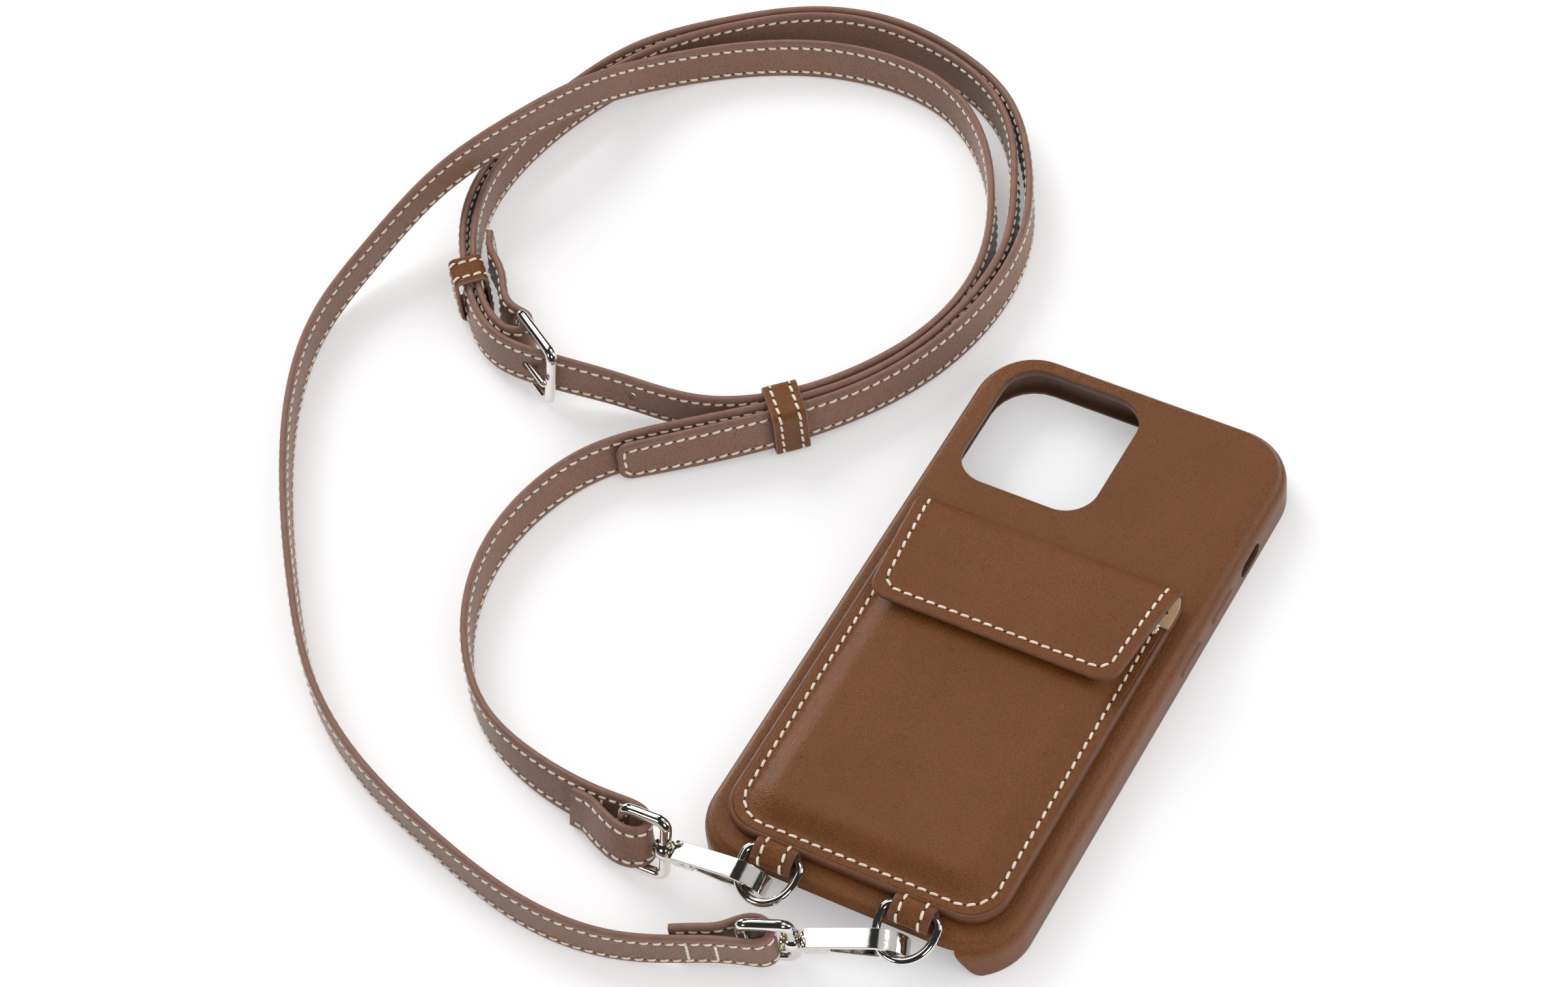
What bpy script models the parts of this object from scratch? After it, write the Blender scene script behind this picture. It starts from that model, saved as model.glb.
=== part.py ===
"""A crossbody phone case: a leather-wrapped shell with a flap pocket on its back, two rings on
tabs, and a buckled leather strap with a swivel snap hook at each end. Metres, +Z up, lying on its
open face with the pocket upward. The strap lies coiled beside the case, standing on its edge.
"""

import math

import bmesh
import bpy
import numpy as np
from mathutils import Euler, Matrix, Vector

MM = 0.001

# Clearances
GAP = 0.3 * MM
PHONE_PLAY = 0.15 * MM
STUD_GAP = 0.4 * MM

# The phone that the case is made for
PHONE_LENGTH = 160.8 * MM
PHONE_WIDTH = 78.1 * MM
PHONE_THICKNESS = 7.7 * MM
PHONE_CORNER = 13.25 * MM

# Case: shell, leather wrap and lining
SIDE_WALL = 0.8 * MM
END_WALL = 1.2 * MM
BACK_WALL = 1.2 * MM
LIP_HEIGHT = 0.6 * MM
LIP_REACH = 1.8 * MM
WRAP = 0.7 * MM
LINING = 0.5 * MM
BACK_FILLET = 4.7 * MM
RIM_FILLET = 0.6 * MM
CAVITY_X = PHONE_WIDTH / 2 + PHONE_PLAY
CAVITY_Y = PHONE_LENGTH / 2 + PHONE_PLAY
SHELL_X = CAVITY_X + SIDE_WALL
SHELL_Y = CAVITY_Y + END_WALL
CASE_X = SHELL_X + GAP + WRAP
CASE_Y = SHELL_Y + GAP + WRAP
CASE_CORNER = PHONE_CORNER + SIDE_WALL + GAP + WRAP + PHONE_PLAY
LINING_Z = LIP_HEIGHT + PHONE_THICKNESS + 0.2 * MM
CAVITY_TOP = LINING_Z + LINING + GAP
SHELL_TOP = CAVITY_TOP + BACK_WALL
CASE_TOP = SHELL_TOP + GAP + WRAP

# Openings in the case
CAMERA_SIZE = (36.1 * MM, 37.7 * MM)
CAMERA_INSET = (6.8 * MM, 5.75 * MM)
CAMERA_CORNER = 8.5 * MM
PORT_HALF_BACK = 29.0 * MM
PORT_HALF_RIM = 34.5 * MM
PORT_REACH = 3.8 * MM
MUTE_Y = 49.7 * MM
MUTE_Z = 4.4 * MM
MUTE_SIZE = (10.0 * MM, 4.4 * MM)
BUTTON_Z = 4.6 * MM
BUTTON_HEIGHT = 2.6 * MM
BUTTON_PROUD = 0.4 * MM
VOLUME_LENGTH = 11.0 * MM
VOLUME_UP_Y = 34.3 * MM
VOLUME_DOWN_Y = 17.1 * MM
SIDE_BUTTON_Y = 25.0 * MM
SIDE_BUTTON_LENGTH = 17.0 * MM

# Pocket on the back
POCKET_X = 35.6 * MM
POCKET_FOOT = CASE_Y - 6.95 * MM
POCKET_CORNER = 9.5 * MM
FOLD_Y = 26.5 * MM
FOLD_RADIUS = 3.1 * MM
PANEL = 0.9 * MM
MOUTH_Y = 16.5 * MM
FRONT_LEATHER = 1.2 * MM
FLANGE_WIDTH = 5.0 * MM
BULGE = 2.7 * MM
BULGE_SLOPE = 7.5 * MM
SUEDE = 0.4 * MM
MAGNET_RADIUS = 6.0 * MM
MAGNET_THICKNESS = 0.5 * MM
MAGNET_Y = 2.0 * MM
FLAP_FOOT = -6.8 * MM
FLAP_X_TOP = 35.0 * MM
FLAP_X_FOOT = 32.2 * MM
FLAP_CORNER = 4.5 * MM
FLAP_LEATHER = 1.3 * MM
FLAP_BEND = 6.5 * MM
PANEL_Z = CASE_TOP + GAP
FRONT_Z = PANEL_Z + PANEL + GAP
FRONT_TOP = FRONT_Z + 1.0 * MM + BULGE
HINGE_Z = PANEL_Z + FOLD_RADIUS
FLAP_TOP = FRONT_TOP + 2.8 * MM

# Tabs and rings
TAB_X = 17.7 * MM
TAB_WIDTH = 10.4 * MM
RING_WIRE = 2.2 * MM
RING_HALF_WIDTH = 7.0 * MM
RING_SHOULDER = 2.6 * MM
RING_LENGTH = 12.0 * MM
RING_BAR_Y = -(POCKET_FOOT + 2.6 * MM)
RING_BAR_Z = PANEL_Z + 2.1 * MM
RING_TILT = {"left": math.radians(18.0), "right": math.radians(21.0)}

# Strap, keepers and buckle
STRAP_WIDTH = 12.0 * MM
STRAP_THICKNESS = 1.8 * MM
STRAP_HOLE = 2.8 * MM
KEEPER_LEATHER = 0.9 * MM
KEEPER_LENGTH = 8.8 * MM
KEEPER_ROOM = 0.4 * MM
LOOP_WIRE = 2.8 * MM
LOOP_HEIGHT = STRAP_WIDTH + 2 * GAP + LOOP_WIRE
LOOP_CORNER = 2.2 * MM
EYE_LENGTH = 11.4 * MM
BUCKLE_LENGTH = 18.0 * MM
PRONG_WIRE = 1.8 * MM

# Swivel snap hooks
HOOK_WIDTH = 4.9 * MM
GATE_WIDTH = 4.3 * MM
KNUCKLE_WIDTH = 2.3 * MM
BOSS_RADIUS = 2.6 * MM
BOSS_LENGTH = 3.0 * MM
STUD_RADIUS = 1.2 * MM
COLLAR = 0.5 * MM
PIN_RADIUS = 0.7 * MM
PIN_AT = (3.0 * MM, -0.6 * MM)
NECK_FROM_BOSS = BOSS_LENGTH / 2 + 2 * GAP + COLLAR
EYES = {
    "right": ((-10.1, -96.7, 9.4), 22.0, 2.0, -7.0),
    "left": ((-48.6, -85.8, 9.5), 0.5, 2.5, 19.0),
}
HOOK_TURN = {"right": (20.6, 7.4, 10.0), "left": (-0.4, 10.8, 10.0)}
BUCKLE = ((-145.8, 28.4, 10.0), -31.8, 3.0, 12.0)

# Where the strap's top edge runs, in millimetres from the middle of the case: x, y, how far the
# strap is lifted off its edge, and how far its foot leans, in degrees.
RIGHT_FOLD = [
    (-31.0, -105.0, 0.9, 4), (-24.9, -102.6, 2.0, 5), (-20.4, -100.6, 2.7, 6),
    (-17.6, -98.1, 3.1, 6), (-15.0, -95.9, 3.3, 6), (-11.8, -95.1, 3.3, 6),
    (-9.4, -96.2, 3.3, 4), (-8.4, -98.3, 3.3, 0), (-9.4, -100.5, 3.3, -4),
    (-12.4, -102.1, 3.3, -6),
]
LONG_ROUTE = [
    (-19.4, -104.1, 2.6, -6), (-29.5, -107.6, 1.0, -5), (-42.5, -111.6, 0.0, -3),
    (-65.9, -112.3, 0.0, 2), (-92.8, -105.9, 0.0, 0), (-120.3, -95.5, 0.0, 0),
    (-143.1, -80.6, 0.0, 0), (-162.6, -59.3, 0.0, 0), (-184.1, -29.5, 0.0, 0),
    (-198.2, -3.1, 0.0, 0), (-204.0, 19.2, 0.2, 1), (-202.0, 41.0, 3.5, 2),
    (-194.8, 62.9, 10.8, 4), (-185.3, 85.5, 12.7, 4), (-176.8, 108.0, 9.1, 1),
    (-168.3, 126.8, 2.2, -2), (-153.9, 140.8, 0.0, -4), (-133.4, 151.6, 0.0, -7),
    (-111.9, 155.7, 0.0, -9), (-92.8, 152.4, 0.0, -9), (-77.3, 140.9, 0.0, -6),
    (-65.0, 122.0, 0.0, 0), (-58.1, 100.5, 0.0, 4), (-59.5, 79.7, 0.0, 5),
    (-68.8, 58.7, 0.6, 4), (-82.0, 42.2, 1.8, 4), (-99.6, 33.1, 0.9, 4),
    (-122.7, 30.1, 1.5, 4), (-145.6, 26.4, 4.2, 8), (-154.3, 27.4, 3.6, 9), (-162.9, 31.6, 2.5, 8),
    (-176.9, 46.1, 1.8, 3), (-187.3, 64.2, 0.4, 0), (-190.1, 85.3, 0.0, 0),
    (-185.2, 109.3, 0.0, 0), (-175.4, 132.2, 0.0, -1), (-158.8, 149.3, 0.0, -3),
    (-138.4, 163.0, 0.0, -6), (-118.0, 167.9, 0.0, -8), (-96.6, 164.9, 0.0, -8),
    (-77.5, 155.8, 0.0, -5), (-63.6, 139.7, 0.0, -2), (-53.6, 118.2, 0.0, 2),
    (-51.6, 96.6, 0.0, 5), (-56.9, 72.5, 0.0, 6), (-68.3, 50.5, 0.9, 5),
    (-85.9, 31.8, 1.5, 10), (-112.0, 10.5, 0.0, 5),
]
LEFT_FOLD = [
    (-69.9, -81.6, 0.3, -13), (-64.9, -82.2, 1.2, -16), (-60.4, -84.2, 2.2, -18),
    (-56.0, -86.2, 3.0, -18), (-52.0, -86.9, 3.3, -18), (-49.0, -85.7, 3.3, -12),
    (-48.3, -83.6, 3.3, 0), (-49.2, -81.6, 3.3, 12), (-52.0, -80.3, 3.3, 18),
    (-56.6, -79.6, 2.4, 18),
]
SHORT_ROUTE = [
    (-62.6, -79.2, 1.3, 18), (-83.9, -76.3, 0.0, 13), (-100.4, -70.3, 0.0, 4),
    (-113.2, -58.6, 0.0, 0), (-122.3, -42.8, 0.0, -3), (-126.3, -25.1, 0.0, -6),
    (-124.5, -7.4, 0.0, -8), (-117.4, 8.6, 0.0, -9), (-103.7, 22.1, 0.5, -10),
    (-84.4, 36.8, 1.8, -7), (-69.9, 52.2, 1.1, -5), (-60.1, 70.6, 0.1, -5),
    (-55.2, 90.7, 0.0, -5), (-55.3, 110.0, 0.0, -3), (-62.1, 129.1, 0.0, 0),
    (-72.2, 146.5, 0.0, 3), (-85.3, 157.8, 0.0, 6), (-102.3, 163.8, 0.0, 8),
    (-120.7, 165.3, 0.0, 8), (-138.0, 160.8, 0.0, 6), (-154.4, 149.8, 0.0, 4),
    (-169.6, 134.4, 0.0, 1), (-179.5, 116.2, 0.0, 0), (-185.9, 94.7, 0.0, 0),
    (-186.9, 75.7, 0.0, 0), (-181.6, 58.8, 1.1, -2), (-171.5, 43.2, 2.0, -5),
    (-161.0, 33.4, 2.8, -9),
]
BUCKLE_FOLD = [
    (-157.2, 31.3, 3.4, -10), (-153.6, 30.6, 3.7, -10), (-151.1, 31.7, 3.7, -8),
    (-150.2, 34.0, 3.7, 0), (-151.6, 36.3, 3.5, 8), (-155.6, 37.4, 3.2, 10),
    (-160.2, 39.6, 2.9, 8), (-165.0, 45.6, 2.3, 6), (-169.4, 49.9, 2.0, 4),
    (-173.6, 53.4, 1.6, 3), (-176.4, 58.0, 1.2, 1),
]
HOLES_FROM_PRONG = (-56.0 * MM, -28.0 * MM, 28.0 * MM, 56.0 * MM)
FIXED_KEEPER = (-173.2, 43.4, 8.0, 134.0)
SLIDING_KEEPER = (-80.6, 40.5, 7.65, 43.5)
ROUTES_DRAWN_FOR = (-78.4, 17.7)
ROUTE_STEP = 7.0

COLOURS = {
    "case leather": ((0.19, 0.079, 0.038), 0.5, 0.0),
    "pocket leather": ((0.18, 0.079, 0.041), 0.5, 0.0),
    "flap leather": ((0.215, 0.1, 0.055), 0.5, 0.0),
    "strap leather": ((0.235, 0.139, 0.105), 0.5, 0.0),
    "suede": ((0.75, 0.55, 0.31), 0.95, 0.0),
    "microfibre": ((0.12, 0.06, 0.035), 0.95, 0.0),
    "shell plastic": ((0.05, 0.022, 0.013), 0.45, 0.0),
    "nickel": ((0.75, 0.72, 0.68), 0.12, 1.0),
    "magnet": ((0.4, 0.4, 0.4), 0.35, 1.0),
}


def clear_scene():
    for obj in list(bpy.data.objects):
        bpy.data.objects.remove(obj, do_unlink=True)


def collection(name):
    group = bpy.data.collections.new(name)
    bpy.context.scene.collection.children.link(group)
    return group


def material(name):
    found = bpy.data.materials.get(name)
    if found:
        return found
    colour, roughness, metallic = COLOURS[name]
    made = bpy.data.materials.new(name)
    made.use_nodes = True
    shader = made.node_tree.nodes["Principled BSDF"]
    shader.inputs["Base Color"].default_value = (*colour, 1.0)
    shader.inputs["Roughness"].default_value = roughness
    shader.inputs["Metallic"].default_value = metallic
    return made


clear_scene()
PARTS = collection("crossbody_phone_case")
CUTTERS = collection("cutters")


def empty(name, parent=None, location=(0, 0, 0), rotation=(0, 0, 0)):
    obj = bpy.data.objects.new(name, None)
    obj.parent = parent
    obj.location = location
    obj.rotation_euler = rotation
    PARTS.objects.link(obj)
    return obj


def place(obj, parent, material_name=None, location=(0, 0, 0), rotation=(0, 0, 0)):
    """Gives an object its parent and place. One without a material is a cutter."""
    obj.parent = parent
    obj.location = location
    obj.rotation_euler = rotation
    if obj.type == "MESH":
        obj.data.shade_smooth()
    if material_name:
        obj.data.materials.append(material(material_name))
        PARTS.objects.link(obj)
    else:
        obj.hide_render = True
        obj.display_type = "WIRE"
        CUTTERS.objects.link(obj)
    return obj


def mesh_object(name, bm):
    mesh = bpy.data.meshes.new(name)
    bmesh.ops.recalc_face_normals(bm, faces=bm.faces)
    bm.to_mesh(mesh)
    bm.free()
    return bpy.data.objects.new(name, mesh)


def bevel(bm, edges, radius, segments):
    if radius > 0:
        bmesh.ops.bevel(
            bm, geom=edges, offset=radius, segments=segments, profile=0.5, affect="EDGES"
        )


def plate(name, half, z_range, corner, top=0.0, bottom=0.0, centre=(0, 0), segments=7):
    """A flat block with round corners in plan, and a fillet along its top and bottom edges."""
    bm = bmesh.new()
    bmesh.ops.create_cube(bm, size=2.0)
    low, high = z_range
    bmesh.ops.scale(bm, vec=(half[0], half[1], (high - low) / 2), verts=bm.verts)
    bmesh.ops.translate(bm, vec=(centre[0], centre[1], (high + low) / 2), verts=bm.verts)
    upright = [e for e in bm.edges if abs(e.verts[0].co.z - e.verts[1].co.z) > 1e-6]
    bevel(bm, upright, corner, segments)
    for level, radius, steps in ((high, top, 5), (low, bottom, 2)):
        ring = [e for e in bm.edges if all(abs(v.co.z - level) < 1e-7 for v in e.verts)]
        bevel(bm, ring, radius, steps)
    return mesh_object(name, bm)


def pad(name, x_range, y, z, length, height):
    """A bar with round ends, lying along Y and passing through a side wall."""
    bm = bmesh.new()
    bmesh.ops.create_cube(bm, size=1.0)
    width = x_range[1] - x_range[0]
    bmesh.ops.scale(bm, vec=(width, length, height), verts=bm.verts)
    through = [e for e in bm.edges if abs(e.verts[0].co.x - e.verts[1].co.x) > 1e-6]
    bevel(bm, through, height * 0.48, 4)
    bmesh.ops.translate(bm, vec=(sum(x_range) / 2, y, z), verts=bm.verts)
    return mesh_object(name, bm)


def rod(name, radius, low, high, axis="X", at=(0, 0), segments=20):
    """A cylinder from low to high along an axis, at the two other coordinates given."""
    bm = bmesh.new()
    bmesh.ops.create_cone(
        bm, cap_ends=True, segments=segments, radius1=radius, radius2=radius, depth=high - low
    )
    middle = (low + high) / 2
    turn = {
        "X": (Matrix.Rotation(math.pi / 2, 4, "Y"), (middle, at[0], at[1])),
        "Y": (Matrix.Rotation(math.pi / 2, 4, "X"), (at[0], middle, at[1])),
        "Z": (Matrix.Identity(4), (at[0], at[1], middle)),
    }[axis]
    bmesh.ops.transform(bm, matrix=Matrix.Translation(turn[1]) @ turn[0], verts=bm.verts)
    return mesh_object(name, bm)


def loft(name, rings):
    """A solid through rings of equally many points, closed at both ends."""
    bm = bmesh.new()
    loops = [[bm.verts.new(p) for p in ring] for ring in rings]
    count = len(loops[0])
    for lower, upper in zip(loops, loops[1:]):
        for i in range(count):
            j = (i + 1) % count
            bm.faces.new((lower[i], lower[j], upper[j], upper[i]))
    bm.faces.new(loops[0][::-1])
    bm.faces.new(loops[-1])
    return mesh_object(name, bm)


def mesh_of_curve(curve_object):
    """Turns a curve object into a closed mesh object of the same name and place."""
    bpy.context.scene.collection.objects.link(curve_object)
    graph = bpy.context.evaluated_depsgraph_get()
    mesh = bpy.data.meshes.new_from_object(curve_object.evaluated_get(graph))
    name = curve_object.name
    curve = curve_object.data
    bpy.data.objects.remove(curve_object, do_unlink=True)
    bpy.data.curves.remove(curve)
    bm = bmesh.new()
    bm.from_mesh(mesh)
    bpy.data.meshes.remove(mesh)
    bmesh.ops.remove_doubles(bm, verts=bm.verts, dist=1e-6)
    return mesh_object(name, bm)


def outline(name, loops, thickness):
    """A flat piece from closed outlines, the first outside and the others holes."""
    curve = bpy.data.curves.new(name, "CURVE")
    curve.dimensions = "2D"
    curve.fill_mode = "BOTH"
    curve.extrude = thickness / 2
    for loop in loops:
        spline = curve.splines.new("POLY")
        spline.points.add(len(loop) - 1)
        for point, (x, y) in zip(spline.points, loop):
            point.co = (x, y, 0, 1)
        spline.use_cyclic_u = True
    return mesh_of_curve(bpy.data.objects.new(name, curve))


def wire(name, points, radius, cyclic=False, resolution=2):
    curve = bpy.data.curves.new(name, "CURVE")
    curve.dimensions = "3D"
    curve.bevel_depth = radius
    curve.bevel_resolution = resolution
    curve.use_fill_caps = not cyclic
    spline = curve.splines.new("POLY")
    spline.points.add(len(points) - 1)
    for point, place_at in zip(spline.points, points):
        point.co = (*place_at, 1)
    spline.use_cyclic_u = cyclic
    return mesh_of_curve(bpy.data.objects.new(name, curve))


def combine(target, other, operation="DIFFERENCE"):
    modifier = target.modifiers.new(other.name, "BOOLEAN")
    modifier.operation = operation
    modifier.solver = "EXACT"
    modifier.object = other


def arc(centre, radius, start, end, steps):
    """Points on an arc, in degrees."""
    angles = np.radians(np.linspace(start, end, steps + 1))
    return [
        (centre[0] + radius * math.cos(a), centre[1] + radius * math.sin(a)) for a in angles
    ]


def rounded(half_x, half_y, radius, steps=6, centre=(0, 0)):
    """A rectangle with round corners."""
    points = []
    for sx, sy, start in ((1, 1, 0), (-1, 1, 90), (-1, -1, 180), (1, -1, 270)):
        middle = (centre[0] + sx * (half_x - radius), centre[1] + sy * (half_y - radius))
        points += arc(middle, radius, start, start + 90, steps)
    return points


ALONG_X = (math.pi / 2, 0, math.pi / 2)
ALONG_Y = (math.pi / 2, 0, 0)


def ring_outline():
    """The ring's centreline from its bar: x along the bar, y away from it."""
    straight = RING_HALF_WIDTH - RING_SHOULDER
    middle = RING_SHOULDER + 1.4 * MM
    right = arc((straight, RING_SHOULDER), RING_SHOULDER, -90, 0, 4)
    left = arc((-straight, RING_SHOULDER), RING_SHOULDER, 180, 270, 4)
    far = [
        (RING_HALF_WIDTH * math.cos(a), middle + (RING_LENGTH - middle) * math.sin(a))
        for a in np.linspace(0, math.pi, 17)
    ]
    return right + far + left


RING_END = -(RING_BAR_Y - RING_LENGTH * math.cos(min(RING_TILT.values())) - RING_WIRE / 2)
FRAME_SHIFT = (RING_END - CASE_Y) / 2
ROOT = empty("case_centre", location=(0, FRAME_SHIFT, 0))


def make_camera_cutter(name, room):
    half = (CAMERA_SIZE[0] / 2 + room, CAMERA_SIZE[1] / 2 + room)
    centre = (
        -CASE_X + CAMERA_INSET[0] + CAMERA_SIZE[0] / 2,
        CASE_Y - CAMERA_INSET[1] - CAMERA_SIZE[1] / 2,
    )
    cutter = plate(name, half, (-1 * MM, CASE_TOP + 1 * MM), CAMERA_CORNER + room, centre=centre)
    return place(cutter, ROOT)


def make_port_cutter():
    """Takes the charging end's wall away, wider at the rim than at the back, with round jambs."""
    back = CAVITY_TOP - 0.1 * MM
    jamb = [
        (PORT_HALF_BACK, back), (PORT_HALF_RIM - 1.9 * MM, 2.4 * MM), (PORT_HALF_RIM - 1.0 * MM, 1.2 * MM),
        (PORT_HALF_RIM + 0.3 * MM, 0.35 * MM), (PORT_HALF_RIM + 1.6 * MM, 0.0),
        (PORT_HALF_RIM + 1.6 * MM, -1 * MM),
    ]
    section = [(-x, z) for x, z in jamb] + jamb[::-1]
    depth = 6 * MM + PORT_REACH
    cutter = outline("cut_port", [section], depth)
    inner = CAVITY_Y - LIP_REACH - PORT_REACH
    return place(cutter, ROOT, location=(0, -inner - depth / 2, 0), rotation=ALONG_Y)


def buttons():
    """Each button: its name, the side of its wall, its place along Y and its length."""
    return (
        ("volume_up_button", 1, VOLUME_UP_Y, VOLUME_LENGTH),
        ("volume_down_button", 1, VOLUME_DOWN_Y, VOLUME_LENGTH),
        ("side_button", -1, SIDE_BUTTON_Y, SIDE_BUTTON_LENGTH),
    )


def make_case():
    camera = make_camera_cutter("cut_camera", 0.0)
    port = make_port_cutter()
    slots = []
    for name, side, y, length in buttons():
        wall = sorted((side * (CAVITY_X - 3 * MM), side * (CASE_X + 3 * MM)))
        cutter = pad("cut_" + name, wall, y, BUTTON_Z, length + 2 * GAP, BUTTON_HEIGHT + 2 * GAP)
        slots.append(place(cutter, ROOT))
        face = sorted((side * (CAVITY_X + 0.2 * MM), side * (CASE_X + BUTTON_PROUD)))
        button = pad(name, (face[0] - side * CASE_X, face[1] - side * CASE_X), 0, 0, length,
                     BUTTON_HEIGHT)
        place(button, ROOT, "case leather", location=(side * CASE_X, y, BUTTON_Z))
    wall = (CAVITY_X - 3 * MM, CASE_X + 3 * MM)
    slots.append(place(pad("cut_mute", wall, MUTE_Y, MUTE_Z, *MUTE_SIZE), ROOT))

    wrap = plate(
        "leather_wrap", (CASE_X, CASE_Y), (0, CASE_TOP), CASE_CORNER, BACK_FILLET, RIM_FILLET
    )
    place(wrap, ROOT, "case leather")
    inside = plate(
        "cut_wrap_inside", (CASE_X - WRAP, CASE_Y - WRAP), (-1 * MM, CASE_TOP - WRAP),
        CASE_CORNER - WRAP, BACK_FILLET - WRAP,
    )
    combine(wrap, place(inside, ROOT))

    shell_corner = CASE_CORNER - WRAP - GAP
    shell = plate(
        "case_shell", (SHELL_X, SHELL_Y), (0, SHELL_TOP), shell_corner, BACK_FILLET - WRAP - GAP
    )
    place(shell, ROOT, "shell plastic")
    cavity = plate(
        "cut_cavity", (CAVITY_X, CAVITY_Y), (LIP_HEIGHT, CAVITY_TOP), shell_corner - SIDE_WALL, 2 * MM
    )
    combine(shell, place(cavity, ROOT))
    mouth = plate(
        "cut_lip", (CAVITY_X - LIP_REACH, CAVITY_Y - LIP_REACH), (-1 * MM, LIP_HEIGHT + 1 * MM),
        shell_corner - SIDE_WALL - LIP_REACH,
    )
    combine(shell, place(mouth, ROOT))
    for piece in (wrap, shell):
        combine(piece, camera)
        combine(piece, port)
        for slot in slots:
            combine(piece, slot)

    half = (CAVITY_X - GAP - 1.3 * MM, CAVITY_Y - GAP - 1.3 * MM)
    lining = plate(
        "microfibre_lining", half, (LINING_Z, LINING_Z + LINING), shell_corner - SIDE_WALL - 1 * MM
    )
    place(lining, ROOT, "microfibre")
    combine(lining, make_camera_cutter("cut_lining_camera", 0.6 * MM))


def pocket_outline(inset, y_top, least_radius=0.0):
    """The pocket's outline, round at its two lower corners and square at its upper edge."""
    x = POCKET_X - inset
    foot = -(POCKET_FOOT - inset)
    radius = max(POCKET_CORNER - inset, least_radius)
    left = arc((-x + radius, foot + radius), radius, 180, 270, 6)
    right = arc((x - radius, foot + radius), radius, 270, 360, 6)
    return [(-x, y_top)] + left + right + [(x, y_top)]


def make_pocket_back():
    centre = (FOLD_Y - FOLD_RADIUS, HINGE_Z)
    outer = arc(centre, FOLD_RADIUS, -90, 0, 6)
    inner = arc(centre, FOLD_RADIUS - PANEL, 0, -90, 6)
    foot = -POCKET_FOOT - 1 * MM
    profile = [(foot, PANEL_Z)] + outer + inner + [(foot, PANEL_Z + PANEL)]
    panel = outline("pocket_back_panel", [profile], 2 * POCKET_X)
    place(panel, ROOT, "pocket leather", rotation=ALONG_X)
    prism = outline("keep_pocket", [pocket_outline(0, FOLD_Y + 2 * MM)], 12 * MM)
    combine(panel, place(prism, ROOT, location=(0, 0, PANEL_Z + 3 * MM)), "INTERSECT")
    for side in (-1, 1):
        half = (TAB_WIDTH / 2 + GAP, 5.5 * MM)
        notch = plate(
            "cut_notch", half, (PANEL_Z - 1 * MM, PANEL_Z + 2 * MM), 1 * MM,
            centre=(side * TAB_X, -POCKET_FOOT + 4.5 * MM), segments=3,
        )
        combine(panel, place(notch, ROOT))

    room = FLANGE_WIDTH + 0.45 * BULGE_SLOPE
    lining = outline("pocket_lining", [pocket_outline(room, MOUTH_Y + 4 * MM, 6 * MM)], LINING)
    place(lining, ROOT, "suede", location=(0, 0, FRONT_Z + LINING / 2))


def bulge_rings(drop, foot_z):
    """Rounded rectangles rising from the flange to the flat middle of the pocket's front."""
    rings = []
    base = FRONT_Z + 1.0 * MM
    top_y = MOUTH_Y + 20 * MM
    for share in (0.0, 0.25, 0.5, 0.75, 1.0):
        inset = FLANGE_WIDTH + share * BULGE_SLOPE
        height = base + BULGE * (0.5 - 0.5 * math.cos(math.pi * share)) - drop
        half_y = (POCKET_FOOT - inset + top_y) / 2
        corner = max(POCKET_CORNER - 0.6 * inset, 1.5 * MM)
        loop = rounded(POCKET_X - inset, half_y, corner, 4, (0, top_y - half_y))
        if not rings:
            rings.append([(x, y, foot_z) for x, y in loop])
        rings.append([(x, y, height) for x, y in loop])
    return rings


def make_pocket_front():
    flange = outline("pocket_front_panel", [pocket_outline(0, MOUTH_Y)], 1.0 * MM)
    place(flange, ROOT, "pocket leather", location=(0, 0, FRONT_Z + 0.5 * MM))
    raised = place(loft("add_bulge", bulge_rings(0.0, FRONT_Z + 0.4 * MM)), ROOT)
    combine(flange, raised, "UNION")
    hollow = place(loft("cut_bulge", bulge_rings(FRONT_LEATHER, FRONT_Z - 2 * MM)), ROOT)
    combine(flange, hollow)
    beyond = plate(
        "cut_mouth", (POCKET_X + 5 * MM, 20 * MM), (FRONT_Z - 3 * MM, FRONT_TOP + 5 * MM), 1 * MM,
        centre=(0, MOUTH_Y + 20 * MM), segments=1,
    )
    combine(flange, place(beyond, ROOT))

    inside = FRONT_TOP - FRONT_LEATHER
    half = (POCKET_X - FLANGE_WIDTH - BULGE_SLOPE - 1 * MM, 9 * MM)
    lining = plate(
        "pocket_front_lining", half, (inside - GAP - SUEDE, inside - GAP), 2 * MM,
        centre=(0, MOUTH_Y - 11 * MM), segments=3,
    )
    place(lining, ROOT, "suede")
    seat = MAGNET_THICKNESS + GAP
    recess = rod("cut_pocket_magnet", MAGNET_RADIUS + GAP, inside - 1 * MM, inside + seat - 0.25 * MM,
                 "Z", (0, MAGNET_Y), 24)
    combine(flange, place(recess, ROOT))
    low = inside - 0.05 * MM
    magnet = rod("pocket_magnet", MAGNET_RADIUS, low, low + MAGNET_THICKNESS - 0.2 * MM, "Z",
                 (0, MAGNET_Y), 24)
    place(magnet, ROOT, "magnet")


def flap_height(y):
    """The height of the flap's outer face over its flat stretch."""
    share = max(0.0, (y - 2 * MM) / (20 * MM))
    return FLAP_TOP - 0.9 * MM * share * share


def flap_profile(low, high, foot, head):
    """A strip of the flap, between two depths under its outer face."""
    ys = np.linspace(foot, head, 8)
    upper = [(y, flap_height(y) - low) for y in ys]
    lower = [(y, flap_height(y) - high) for y in ys[::-1]]
    return upper, lower


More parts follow.
